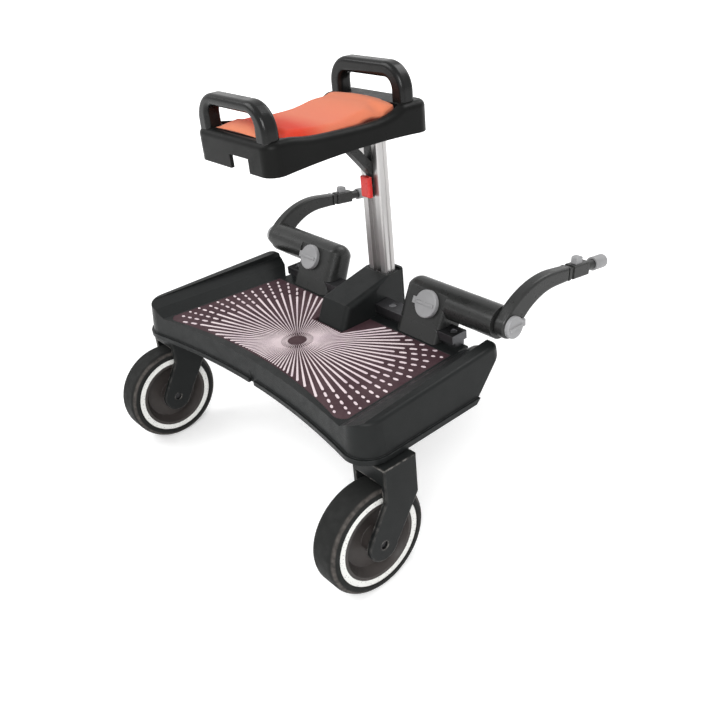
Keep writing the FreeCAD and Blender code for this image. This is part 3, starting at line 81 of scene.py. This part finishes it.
# Burst of raised dashes on the mat
BURST_X = 2.0 * MM
BURST_FROM_FRONT = 64.0 * MM
BURST_REACH = 240.0 * MM
RAY_COUNT = 84
RAY_START = 10.0 * MM
RAY_STAGGER = 7.0 * MM
STREAK_END = 108.0 * MM
STREAK_STAGGER = 8.0 * MM
DASH_GAP = 4.6 * MM
DASH_FIRST = 8.0 * MM
DASH_SHRINK = 0.8
DASH_LEAST = 3.4 * MM
DASH_KEPT_SHARE = 0.8
DASH_WIDTH_SHARE = 0.42
DASH_WIDEST = 2.6 * MM
DASH_TIP_SHARE = 0.4
DASH_HEIGHT = 0.6 * MM
DASH_BEVEL = 0.3 * MM
DASH_SINK = 0.2 * MM
MAT_MARGIN = 1.5 * MM
TRIM_STEP = 0.5 * MM

# Saddle cushion: the dip line pairs shares of the seat's length with shares of the dip
SADDLE_DIP = 8.0 * MM
DIP_LINE = (
    (0.0, 0.0), (0.16, 0.4), (0.41, 0.8), (0.66, 1.0), (0.84, 0.85), (0.95, 0.3), (1.0, 0.0),
)
PAD_INSET = 1.6 * MM
PAD_PROUD = -0.4 * MM
PAD_CROWN = 3.0 * MM
PAD_BACK_RISE = 5.2 * MM
PAD_RISE_FROM = 0.5
PAD_RISE_TO = 0.84
PAD_ROLL_POWER = 12.0
FLAP_HALF = 36.5 * MM
FLAP_THICK = 3.5 * MM
FLAP_WIDENING = 8.0 * MM
PAD_STEPS_ACROSS = 28
PAD_STEPS_ALONG = 48
PAD_VOXEL = 3.0 * MM
PAD_PRESSURE = 4.0
PAD_FRAMES = 20
PAD_SWELL = 3.5 * MM
PAD_CLEAR = 0.3 * MM

# Studio: place, size and power of each lamp, and distances over which the floor turns white
LAMPS = {
    "key_lamp": (Vector((1.15, -1.0, 1.15)), 0.8, 22.0),
    "fill_lamp": (Vector((-1.1, -1.2, 1.8)), 1.4, 24.0),
    "back_lamp": (Vector((0.2, 1.5, 1.8)), 1.2, 16.0),
}
LAMP_AIM = Vector((0, 0, 0.2))
WORLD_LIGHT = 0.36
FLOOR_HALF = 14.0
FLOOR_GLOW = 0.3
GLOW_FROM = 0.4
GLOW_FULL = 1.8


class Tree:
    """Short calls to add nodes to a node tree."""

    def __init__(self, tree):
        self.tree = tree

    def feed(self, socket, value):
        """Link an output to a socket, or set the socket's value."""
        if isinstance(value, bpy.types.NodeSocket):
            self.tree.links.new(value, socket)
        else:
            socket.default_value = value

    def node(self, kind, **inputs):
        """A new node with its inputs set or linked by name."""
        node = self.tree.nodes.new(kind)
        for name, value in inputs.items():
            self.feed(node.inputs[name.replace("_", " ")], value)
        return node

    def math(self, operation, a, b=0.0):
        """Result of a sum on one or two numbers."""
        node = self.node("ShaderNodeMath")
        node.operation = operation
        self.feed(node.inputs[0], a)
        self.feed(node.inputs[1], b)
        return node.outputs[0]

    def vector_math(self, operation, *vectors):
        """Number that a sum on one or two vectors gives."""
        node = self.node("ShaderNodeVectorMath")
        node.operation = operation
        for socket, vector in zip(node.inputs, vectors):
            self.feed(socket, vector)
        return node.outputs["Value"]

    def split(self, vector):
        """The X, Y and Z outputs of a vector."""
        return self.node("ShaderNodeSeparateXYZ", Vector=vector).outputs

    def spread(self, value, low, high, out_low=0.0, out_high=1.0):
        """A number moved from one range to another and held inside it."""
        node = self.node("ShaderNodeMapRange", Value=value)
        ends = {"From Min": low, "From Max": high, "To Min": out_low, "To Max": out_high}
        for name, number in ends.items():
            node.inputs[name].default_value = number
        return node.outputs["Result"]

    def blend(self, share, a, b):
        """Colour between two colours or colour outputs."""
        node = self.node("ShaderNodeMix")
        node.data_type = "RGBA"
        self.feed(node.inputs[0], share)
        for socket, value in ((node.inputs[6], a), (node.inputs[7], b)):
            is_output = isinstance(value, bpy.types.NodeSocket)
            self.feed(socket, value if is_output else (*value, 1.0))
        return node.outputs[2]

    def backdrop_rays(self):
        """1 for rays from the camera and those that mirrors and glass send on, 0 for others."""
        path = self.node("ShaderNodeLightPath").outputs
        mirrored = self.math("MAXIMUM", path["Is Glossy Ray"], path["Is Transmission Ray"])
        return self.math("MAXIMUM", path["Is Camera Ray"], mirrored)


class Paint(Tree):
    """A new material with its shader, and patterns in the piece's own coordinates."""

    def __init__(self, name, colour, roughness, metallic=0.0):
        self.material = bpy.data.materials.new(name)
        self.material.use_nodes = True
        super().__init__(self.material.node_tree)
        self.shader = self.tree.nodes["Principled BSDF"]
        self.set("Base Color", (*colour, 1.0))
        self.set("Roughness", roughness)
        self.set("Metallic", metallic)
        self.where = self.node("ShaderNodeTexCoord").outputs["Object"]

    def set(self, socket, value):
        """A value that is the same all over the surface."""
        self.shader.inputs[socket].default_value = value

    def link(self, socket, output):
        """Let a node's output drive a socket of the shader."""
        self.tree.links.new(output, self.shader.inputs[socket])

    def noise(self, scale, detail=3.0, where=None):
        """Noise from 0 to 1 at a scale in waves per metre."""
        place = where or self.where
        node = self.node("ShaderNodeTexNoise", Vector=place, Scale=scale, Detail=detail)
        return node.outputs["Fac"]

    def normal(self):
        """The surface's own normal."""
        return self.node("ShaderNodeNewGeometry").outputs["Normal"]

    def soft_normal(self, radius):
        """The normal with edges softened by a radius."""
        return self.node("ShaderNodeBevel", Radius=radius).outputs["Normal"]

    def edges(self, radius):
        """1 where a sharp edge is close, 0 on open faces."""
        likeness = self.vector_math("DOT_PRODUCT", self.soft_normal(radius), self.normal())
        return self.spread(likeness, OPEN_FACE, SHARP_EDGE)

    def uneven_gloss(self, scale, low, high):
        """Let the roughness wander between two values, in patches of a scale."""
        patches = self.noise(scale)
        self.link("Roughness", self.spread(patches, NOISE_LOW, NOISE_HIGH, low, high))

    def bump(self, height, depth, radius=0.0):
        """Raise the surface by a height from 0 to 1, over edges softened by a radius."""
        node = self.node("ShaderNodeBump", Height=height, Distance=depth)
        if radius:
            self.feed(node.inputs["Normal"], self.soft_normal(radius))
        self.link("Normal", node.outputs["Normal"])


def toned(colour, factor):
    """A colour made paler or darker by a factor."""
    return [part * factor for part in colour]


def moulded_plastic(name, colour, edge_wear_and_highlight, roughness, grain=0.12 * MM, gloss=0.4, edge=1.2 * MM):
    """Moulded plastic: fine spark grain, uneven gloss and paler edges, which are rubbed wear on
    most pieces and a painted highlight on the fork.
    """
    paint = Paint(name, colour, roughness)
    paint.set("Specular IOR Level", gloss)
    cloud = paint.spread(paint.noise(scale=38.0, detail=4.0), NOISE_LOW, NOISE_HIGH)
    tone = paint.blend(cloud, colour, toned(colour, 1.25))
    patches = paint.spread(paint.noise(scale=160.0), low=0.35, high=0.65)
    # Paler edges: rubbed wear, and on the fork a painted highlight
    rubbed = paint.math("MULTIPLY", paint.edges(edge), patches)
    paint.link("Base Color", paint.blend(rubbed, tone, edge_wear_and_highlight))
    paint.uneven_gloss(scale=90.0, low=roughness - 0.07, high=roughness + 0.08)
    paint.bump(paint.noise(scale=1900.0, detail=2.0), grain, PLASTIC_EDGE)
    return paint.material


def drawn_metal(name, colour, roughness, stretch):
    """Metal with fine lines along its drawn direction."""
    paint = Paint(name, colour, roughness, metallic=1.0)
    drawn = paint.node("ShaderNodeMapping", Vector=paint.where, Scale=stretch)
    lines = paint.noise(scale=1.0, where=drawn.outputs["Vector"])
    dull = paint.spread(lines, 0.25, 0.75, out_low=roughness - 0.1, out_high=roughness + 0.12)
    paint.link("Roughness", dull)
    share = paint.spread(lines, NOISE_LOW, NOISE_HIGH)
    paint.link("Base Color", paint.blend(share, colour, toned(colour, 0.86)))
    paint.bump(lines, 0.06 * MM, METAL_EDGE)
    return paint.material


def mat_rubber():
    """Aubergine rubber with a fine matt grain and paler trodden patches."""
    colour = (0.036, 0.013, 0.018)
    pale = (0.062, 0.032, 0.037)
    paint = Paint("mat_rubber", colour, roughness=0.72)
    paint.set("Specular IOR Level", 0.35)
    trodden = paint.spread(paint.noise(scale=26.0, detail=5.0), low=0.42, high=0.75)
    paint.link("Base Color", paint.blend(trodden, colour, pale))
    paint.uneven_gloss(scale=240.0, low=0.62, high=0.8)
    paint.bump(paint.noise(scale=1500.0), depth=0.2 * MM)
    return paint.material


def dash_rubber():
    """Pale pink rubber of the burst, a little greyer where feet have rubbed it."""
    colour = (0.76, 0.65, 0.67)
    grey = (0.55, 0.44, 0.49)
    paint = Paint("dash_rubber", colour, roughness=0.6)
    rubbed = paint.spread(paint.noise(scale=34.0, detail=5.0), low=0.45, high=0.8)
    paint.link("Base Color", paint.blend(rubbed, colour, grey))
    paint.bump(paint.noise(scale=1300.0, detail=2.0), depth=0.08 * MM)
    return paint.material


def tyre_rubber():
    """Dark tyre with a paler band on its rubbed shoulders, partly dirt and partly painted
    highlight, by the distance from the axle.
    """
    low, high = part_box("left_tyre")
    centre = (low + high) / 2
    radius = (high.z - low.z) / 2
    colour = (0.008, 0.0085, 0.008)
    dirt_and_highlight = (0.13, 0.115, 0.105)
    paint = Paint("tyre_rubber", colour, roughness=0.7)
    paint.set("Specular IOR Level", 0.2)
    parts = paint.split(paint.where)
    y = paint.math("SUBTRACT", parts["Y"], centre.y)
    z = paint.math("SUBTRACT", parts["Z"], centre.z)
    squares = paint.math("ADD", paint.math("MULTIPLY", y, y), paint.math("MULTIPLY", z, z))
    reach = paint.math("SQRT", squares)
    sides = [
        paint.spread(reach, radius - start, radius - full)
        for start, full in (BAND_INNER, BAND_OUTER)
    ]
    band = paint.math("MULTIPLY", *sides)
    # The pale band on the shoulder: patches of dirt together with a painted highlight
    patches = paint.noise(scale=210.0, detail=5.0)
    dirt_and_highlight_share = paint.spread(patches, 0.3, 0.75, out_low=0.15, out_high=0.75)
    paint.link("Base Color", paint.blend(paint.math("MULTIPLY", band, dirt_and_highlight_share), colour, dirt_and_highlight))
    paint.uneven_gloss(scale=120.0, low=0.6, high=0.78)
    paint.bump(paint.noise(scale=1100.0), depth=0.2 * MM)
    return paint.material


def reflector_plastic():
    """White reflector ring with grey specks."""
    colour = (0.82, 0.82, 0.79)
    grey = (0.36, 0.36, 0.36)
    paint = Paint("reflector_plastic", colour, roughness=0.32)
    cells = paint.node("ShaderNodeTexVoronoi", Vector=paint.where, Scale=420.0)
    height = cells.outputs["Distance"]
    specks = paint.spread(height, low=0.28, high=0.12)
    paint.link("Base Color", paint.blend(specks, colour, grey))
    paint.bump(height, depth=0.1 * MM)
    return paint.material


def pad_tone(paint):
    """Colour along the pad: painted shade in deep red in the seat's hollow, paler at both ends.
    """
    # Tone of the pad's two ends, paler than the rest
    paler_tone = (0.77, 0.28, 0.145)
    low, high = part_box("saddle_pad")
    share = paint.spread(paint.split(paint.where)["Y"], low.y, high.y)
    # Painted shade: the seat's hollow is darkened towards deep red, in patches
    front = paint.spread(share, low=0.06, high=0.14)
    behind = paint.spread(share, low=0.50, high=0.30)
    patchy = paint.spread(paint.noise(scale=30.0), 0.2, 0.6, out_low=0.7, out_high=1.0)
    hollow_shade = paint.math("MULTIPLY", paint.math("MULTIPLY", front, behind), patchy)
    front_end = paint.spread(share, low=0.08, high=0.04)
    back_end = paint.spread(share, low=0.6, high=0.95)
    ends = paint.math("MAXIMUM", front_end, back_end)
    return paint.blend(hollow_shade, paint.blend(ends, PAD_ORANGE, paler_tone), PAD_SHADE)


def knit_height(paint):
    """Height of the knit, from waves in two directions."""
    waves = []
    for axis in ("X", "Y"):
        wave = paint.node(
            "ShaderNodeTexWave", Vector=paint.where, Scale=330.0, Distortion=0.6, Detail=1.0)
        wave.bands_direction = axis
        waves.append(wave.outputs["Fac"])
    return paint.math("MULTIPLY", *waves)


def pad_fabric():
    """Orange-red knit of the saddle pad, with a dark border round its sides that is partly a
    binding and partly painted shade.
    """
    dark = (0.09, 0.016, 0.010)
    paint = Paint("pad_fabric", PAD_ORANGE, roughness=0.9)
    paint.set("Specular IOR Level", 0.15)
    paint.set("Sheen Weight", 0.12)
    paint.set("Sheen Roughness", 0.5)
    knit = knit_height(paint)
    # Painted shade: the low places between the knit's loops are darkened towards the deep red
    between = paint.spread(knit, 0.0, 0.6, out_low=0.3, out_high=0.0)
    knitted = paint.blend(between, pad_tone(paint), PAD_SHADE)
    # Dark red-brown where the surface turns steep, by its normal: partly a binding, partly
    # painted shade
    border = paint.spread(paint.split(paint.normal())["Z"], low=0.45, high=0.12)
    paint.link("Base Color", paint.blend(border, knitted, dark))
    paint.bump(knit, depth=0.25 * MM)
    return paint.material


def painted(node_words, material):
    """Give a material to every node whose name ends with one of the words."""
    for name, node in NODES.items():
        if any(name.endswith(word) for word in node_words):
            node.data.materials.clear()
            node.data.materials.append(material)


def paint_plastics():
    """Materials of the moulded pieces."""
    painted(("deck_shell", "saddle_socket", "back_plate"), moulded_plastic(
        "shell_plastic", colour=BLACK, edge_wear_and_highlight=(0.05, 0.052, 0.052),
        roughness=0.36, grain=0.1 * MM, gloss=0.14))
    painted(("saddle_shell",), moulded_plastic(
        "saddle_plastic", colour=(0.006, 0.0062, 0.006), edge_wear_and_highlight=(0.05, 0.05, 0.048),
        roughness=0.34, grain=0.1 * MM, gloss=0.08))
    # Painted highlight: the fork's wide, pale edges stand for the glint along them
    painted(("fork",), moulded_plastic(
        "fork_plastic", colour=BLACK, edge_wear_and_highlight=(0.25, 0.235, 0.22),
        roughness=0.36, grain=0.1 * MM, gloss=0.12, edge=3.0 * MM))
    painted(("handle",), moulded_plastic(
        "handle_plastic", colour=(0.006, 0.0063, 0.0062), edge_wear_and_highlight=(0.06, 0.06, 0.06),
        roughness=0.2, grain=0.05 * MM, gloss=0.2))
    painted(("shoulder", "arm", "coupler", "saddle_bracket"), moulded_plastic(
        "satin_plastic", colour=(0.019, 0.0195, 0.019), edge_wear_and_highlight=(0.09, 0.09, 0.09),
        roughness=0.3, grain=0.06 * MM, gloss=0.28))
    painted(("track_knob", "pivot_knob", "release_tab", "coupling_pin"), moulded_plastic(
        "knob_plastic", colour=(0.27, 0.27, 0.275), edge_wear_and_highlight=(0.42, 0.42, 0.42),
        roughness=0.42, grain=0.08 * MM))
    painted(("wheel_disc",), moulded_plastic(
        "wheel_plastic", colour=(0.033, 0.028, 0.026), edge_wear_and_highlight=(0.10, 0.095, 0.09),
        roughness=0.5, gloss=0.3))
    painted(("lock_button",), moulded_plastic(
        "button_plastic", colour=(0.62, 0.022, 0.018), edge_wear_and_highlight=(0.75, 0.16, 0.13),
        roughness=0.3, grain=0.04 * MM))
    painted(("bushes",), moulded_plastic(
        "bush_nylon", colour=(0.72, 0.69, 0.62), edge_wear_and_highlight=(0.8, 0.78, 0.72),
        roughness=0.4, grain=0.04 * MM))


def paint_metals():
    """Materials of the rail, the post and the hardware."""
    even = (500.0, 500.0, 500.0)
    painted(("cross_rail",), drawn_metal(
        "rail_metal", colour=(0.10, 0.10, 0.105), roughness=0.42, stretch=(6.0, 700.0, 700.0)))
    painted(("saddle_post",), drawn_metal(
        "post_alloy", colour=(0.47, 0.46, 0.455), roughness=0.34, stretch=(900.0, 900.0, 7.0)))
    painted(("screws", "stem", "clip", "bolt", "shaft", "spring"), drawn_metal(
        "hardware_steel", colour=(0.58, 0.58, 0.6), roughness=0.34, stretch=even))
    painted(("axle",), drawn_metal(
        "axle_steel", colour=(0.045, 0.045, 0.047), roughness=0.42, stretch=even))


def paint_nodes():
    """Materials of the pieces that keep their solid's shape."""
    paint_plastics()
    paint_metals()
    painted(("tyre",), tyre_rubber())
    painted(("reflector_rings",), reflector_plastic())
    painted(("grip_mat",), mat_rubber())


def shade_nodes():
    """Smooth shading on curved faces, sharp at real edges."""
    for node in NODES.values():
        node.data.shade_smooth()
        node.data.set_sharp_from_angle(angle=math.radians(CREASE_ANGLE))


def finished_mesh(name, mesh):
    """Mesh data of an edit mesh, which is freed."""
    data = bpy.data.meshes.new(name)
    mesh.to_mesh(data)
    mesh.free()
    return data


def new_piece(name, mesh, material):
    """Object of a finished mesh with its material."""
    mesh.materials.append(material)
    piece = bpy.data.objects.new(name, mesh)
    bpy.context.scene.collection.objects.link(piece)
    return piece


def on_mat(point, top):
    """True where the mat's top lies under a point, with a margin round it."""
    for dx, dy in ((MAT_MARGIN, 0), (-MAT_MARGIN, 0), (0, MAT_MARGIN), (0, -MAT_MARGIN)):
        above = Vector((point.x + dx, point.y + dy, top + MM))
        found, place = NODES["grip_mat"].ray_cast(above, Vector((0, 0, -1)))[:2]
        if not found or place.z < top - DASH_SINK:
            return False
    return True


def trimmed(start, end, centre, along, top):
    """The part of a dash that lies on the mat, as distances from the burst's middle, or None."""
    steps = max(2, int((end - start) / TRIM_STEP))
    inside = []
    for i in range(steps + 1):
        reach = start + (end - start) * i / steps
        if not on_mat(centre + along * reach, top):
            break
        inside.append(reach)
    if not inside or inside[-1] - start < DASH_LEAST * DASH_KEPT_SHARE:
        return None
    return start, inside[-1]


def ray_dashes(index):
    """Dashes of one ray: a long streak, then shorter and shorter ones."""
    start = RAY_START + RAY_STAGGER * (index % 2)
    end = STREAK_END + STREAK_STAGGER * (index % 3)
    dashes = [(start, end)]
    length = DASH_FIRST
    while end < BURST_REACH:
        start = end + DASH_GAP
        end = start + max(length, DASH_LEAST)
        dashes.append((start, end))
        length *= DASH_SHRINK
    return dashes


def dash_half(reach):
    """Half of a dash's width at a distance from the burst's middle."""
    spacing = 2 * math.pi * reach / RAY_COUNT
    return min(DASH_WIDEST, spacing * DASH_WIDTH_SHARE) / 2


def dash_plan(start, end):
    """Outline of a dash with tapered ends: distances along its ray and to its side."""
    near = dash_half(start)
    far = dash_half(end)
    tip = min(far, (end - start) / 3)
    plan = [
        (start, near * DASH_TIP_SHARE),
        (start + tip, near),
        (end - tip, far),
        (end, far * DASH_TIP_SHARE),
    ]
    return plan + [(reach, -half) for reach, half in reversed(plan)]


def add_dash(mesh, along, centre, start, end, base):
    """Low bar with a bevelled top from start to end of a ray."""
    side = Vector((-along.y, along.x, 0))
    middle = (start + end) / 2
    plan = dash_plan(start, end)
    levels = ((-DASH_SINK, 0.0), (DASH_HEIGHT - DASH_BEVEL, 0.0), (DASH_HEIGHT, DASH_BEVEL))
    rings = []
    for height, bevel in levels:
        ring = []
        for reach, half in plan:
            from_middle = reach - middle
            pulled = reach - math.copysign(min(bevel, abs(from_middle) / 2), from_middle)
            narrow = math.copysign(max(abs(half) - bevel, abs(half) / 2), half)
            point = centre + along * pulled + side * narrow
            ring.append(mesh.verts.new((point.x, point.y, base + height)))
        rings.append(ring)
    count = len(plan)
    mesh.faces.new(rings[0])
    mesh.faces.new(list(reversed(rings[-1])))
    for low, high in zip(rings, rings[1:]):
        for i in range(count):
            j = (i + 1) % count
            mesh.faces.new((low[j], low[i], high[i], high[j]))


def make_burst():
    """Raised pale dashes that run out from the middle of the mat."""
    low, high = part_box("grip_mat")
    centre = Vector((BURST_X, low.y + BURST_FROM_FRONT, 0))
    mesh = bmesh.new()
    for index in range(RAY_COUNT):
        angle = 2 * math.pi * (index + 0.5) / RAY_COUNT
        along = Vector((math.cos(angle), math.sin(angle), 0))
        for start, end in ray_dashes(index):
            kept = trimmed(start, end, centre, along, high.z)
            if kept:
                add_dash(mesh, along, centre, *kept, high.z)
    bmesh.ops.recalc_face_normals(mesh, faces=mesh.faces)
    burst = new_piece("mat_burst", finished_mesh("mat_burst", mesh), dash_rubber())
    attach(burst, "deck")


def eased(share):
    """Smooth way from 0 to 1, held at its ends."""
    t = max(0.0, min(1.0, share))
    return 3 * t * t - 2 * t ** 3


def rolled(place):
    """Height share of a cushion with rolled edges, for a place from -1 to 1 on it."""
    return max(0.0, 1 - abs(place) ** PAD_ROLL_POWER) ** (1 / PAD_ROLL_POWER)


def dip_at(share):
    """Depth of the shell's top line at a share of the way along the seat, from 0 to 1."""
    for (a, low), (b, high) in zip(DIP_LINE, DIP_LINE[1:]):
        if share <= b:
            return low + (high - low) * eased((share - a) / (b - a))
    return DIP_LINE[-1][1]


def seat_front():
    """Where the seat begins, behind the front handle, and the shell's top level ahead of it."""
    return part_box("front_handle")[1].y + PAD_INSET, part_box("saddle_shell")[1].z


def cushion_mesh():
    """Closed cushion in the seat, crowned across, with a thin flap over the shell in front."""
    low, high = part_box("saddle_pad")
    seat, land = seat_front()
    front = low.y + PAD_INSET
    back = high.y - PAD_INSET
    mesh = bmesh.new()
    tops = []
    feet = []
    for j in range(PAD_STEPS_ALONG + 1):
        along = -math.cos(math.pi * j / PAD_STEPS_ALONG)
        share = (along + 1) / 2
        y = front + (back - front) * share
        in_seat = eased((y - seat) / FLAP_WIDENING)
        half = FLAP_HALF + (high.x - PAD_INSET - FLAP_HALF) * in_seat
        proud = FLAP_THICK + (PAD_PROUD - FLAP_THICK) * in_seat
        edge = land + proud - SADDLE_DIP * dip_at((y - seat) / (back - seat))
        edge += PAD_BACK_RISE * eased((share - PAD_RISE_FROM) / (PAD_RISE_TO - PAD_RISE_FROM))
        foot = low.z if y > seat else land + PAD_CLEAR
        top_row = []
        foot_row = []
        for i in range(PAD_STEPS_ACROSS + 1):
            across = -math.cos(math.pi * i / PAD_STEPS_ACROSS)
            crown = PAD_CROWN * (1 - across * across)
            thick = (edge + crown - foot) * rolled(across) * rolled(along)
            x = half * across
            top_row.append(mesh.verts.new((x, y, foot + thick)))
            border = i in (0, PAD_STEPS_ACROSS) or j in (0, PAD_STEPS_ALONG)
            foot_row.append(top_row[-1] if border else mesh.verts.new((x, y, foot)))
        tops.append(top_row)
        feet.append(foot_row)
    for j in range(PAD_STEPS_ALONG):
        for i in range(PAD_STEPS_ACROSS):
            mesh.faces.new((tops[j][i], tops[j][i + 1], tops[j + 1][i + 1], tops[j + 1][i]))
            mesh.faces.new((feet[j][i], feet[j + 1][i], feet[j + 1][i + 1], feet[j][i + 1]))
    return finished_mesh("saddle_cushion", mesh)


def evaluated_mesh(piece):
    """The piece's mesh with its modifiers, as a new mesh."""
    graph = bpy.context.evaluated_depsgraph_get()
    return bpy.data.meshes.new_from_object(piece.evaluated_get(graph))


def even_mesh(cushion):
    """The cushion's mesh in even small faces."""
    remesh = cushion.modifiers.new("remesh", "REMESH")
    remesh.mode = "VOXEL"
    remesh.voxel_size = PAD_VOXEL
    even = evaluated_mesh(cushion)
    cushion.modifiers.clear()
    return even


def blown_mesh(cushion):
    """The cushion's mesh blown up as cloth."""
    cloth = cushion.modifiers.new("cloth", "CLOTH")
    cloth.settings.use_pressure = True
    cloth.settings.uniform_pressure_force = PAD_PRESSURE
    cloth.settings.effector_weights.gravity = 0.0
    cloth.point_cache.frame_start = 1
    cloth.point_cache.frame_end = PAD_FRAMES
    for number in range(1, PAD_FRAMES + 1):
        bpy.context.scene.frame_set(number)
    blown = evaluated_mesh(cushion)
    cushion.modifiers.clear()
    bpy.context.scene.frame_set(1)
    return blown


def swell(cushion):
    """Blow the cushion up, cap the way of each point and hold it inside the seat."""
    even = even_mesh(cushion)
    cushion.data = even
    blown = blown_mesh(cushion)
    low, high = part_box("saddle_pad")
    seat, land = seat_front()
    for start, end in zip(even.vertices, blown.vertices):
        way = end.co - start.co
        if way.length > PAD_SWELL:
            way = way.normalized() * PAD_SWELL
        point = start.co + way
        half = high.x - PAD_CLEAR if point.y > seat else FLAP_HALF + PAD_CLEAR
        foot = low.z if point.y > seat else land + PAD_CLEAR
        point.x = max(-half, min(half, point.x))
        point.y = max(low.y + PAD_CLEAR, min(high.y - PAD_CLEAR, point.y))
        point.z = max(foot, point.z)
        end.co = point
    blown.shade_smooth()
    cushion.data = blown
    finer = cushion.modifiers.new("finer", "SUBSURF")
    finer.levels = 1
    finer.render_levels = 1


def make_cushion():
    """Saddle cushion in place of the pad's solid."""
    cushion = new_piece("saddle_cushion", cushion_mesh(), pad_fabric())
    swell(cushion)
    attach(cushion, "saddle")
    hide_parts("saddle_pad")


def make_floor():
    """Plain pale floor that glows to white away from the object where the camera sees it."""
    mesh = bmesh.new()
    bmesh.ops.create_grid(mesh, x_segments=1, y_segments=1, size=FLOOR_HALF)
    paint = Paint("floor_paint", colour=(0.93, 0.93, 0.93), roughness=0.8)
    distance = paint.vector_math("LENGTH", paint.where)
    glow = paint.spread(distance, GLOW_FROM, GLOW_FULL, out_low=FLOOR_GLOW)
    paint.set("Emission Color", WHITE)
    paint.link("Emission Strength", paint.math("MULTIPLY", glow, paint.backdrop_rays()))
    floor = new_piece("floor", finished_mesh("floor", mesh), paint.material)


def add_lamp(name, place, size, power):
    """Soft square lamp that looks at the object's middle."""
    lamp = bpy.data.lights.new(name, "AREA")
    lamp.size = size
    lamp.energy = power
    lamp_object = bpy.data.objects.new(name, lamp)
    bpy.context.scene.collection.objects.link(lamp_object)
    lamp_object.location = place
    lamp_object.rotation_euler = (LAMP_AIM - place).to_track_quat("-Z", "Y").to_euler()


def light_studio():
    """World that lights softly and shows as white, and three soft lamps."""
    world = bpy.data.worlds.new("studio")
    world.use_nodes = True
    tree = Tree(world.node_tree)
    background = world.node_tree.nodes["Background"].inputs
    background["Color"].default_value = WHITE
    strength = tree.spread(tree.backdrop_rays(), 0.0, 1.0, out_low=WORLD_LIGHT)
    tree.feed(background["Strength"], strength)
    bpy.context.scene.world = world
    for name, (place, size, power) in LAMPS.items():
        add_lamp(name, place, size, power)


def add_camera():
    """Camera at the photo's place and angles."""
    azimuth = math.radians(CAMERA_AZIMUTH)
    elevation = math.radians(CAMERA_ELEVATION)
    roll = math.radians(CAMERA_ROLL)
    back = Vector((
        math.sin(azimuth) * math.cos(elevation),
        -math.cos(azimuth) * math.cos(elevation),
        math.sin(elevation),
    ))
    level = Vector((math.cos(azimuth), math.sin(azimuth), 0))
    upright = back.cross(level)
    right = level * math.cos(roll) + upright * math.sin(roll)
    up = upright * math.cos(roll) - level * math.sin(roll)
    data = bpy.data.cameras.new("camera")
    data.sensor_width = SENSOR
    data.lens = CAMERA_LENS
    camera = bpy.data.objects.new("camera", data)
    bpy.context.scene.collection.objects.link(camera)
    turn = Matrix((right, up, back)).transposed().to_4x4()
    camera.matrix_world = Matrix.Translation(CAMERA_PLACE) @ turn
    bpy.context.scene.camera = camera


bpy.context.scene.view_settings.view_transform = "Standard"
add_camera()
light_studio()
make_floor()
paint_nodes()
shade_nodes()
make_burst()
make_cushion()
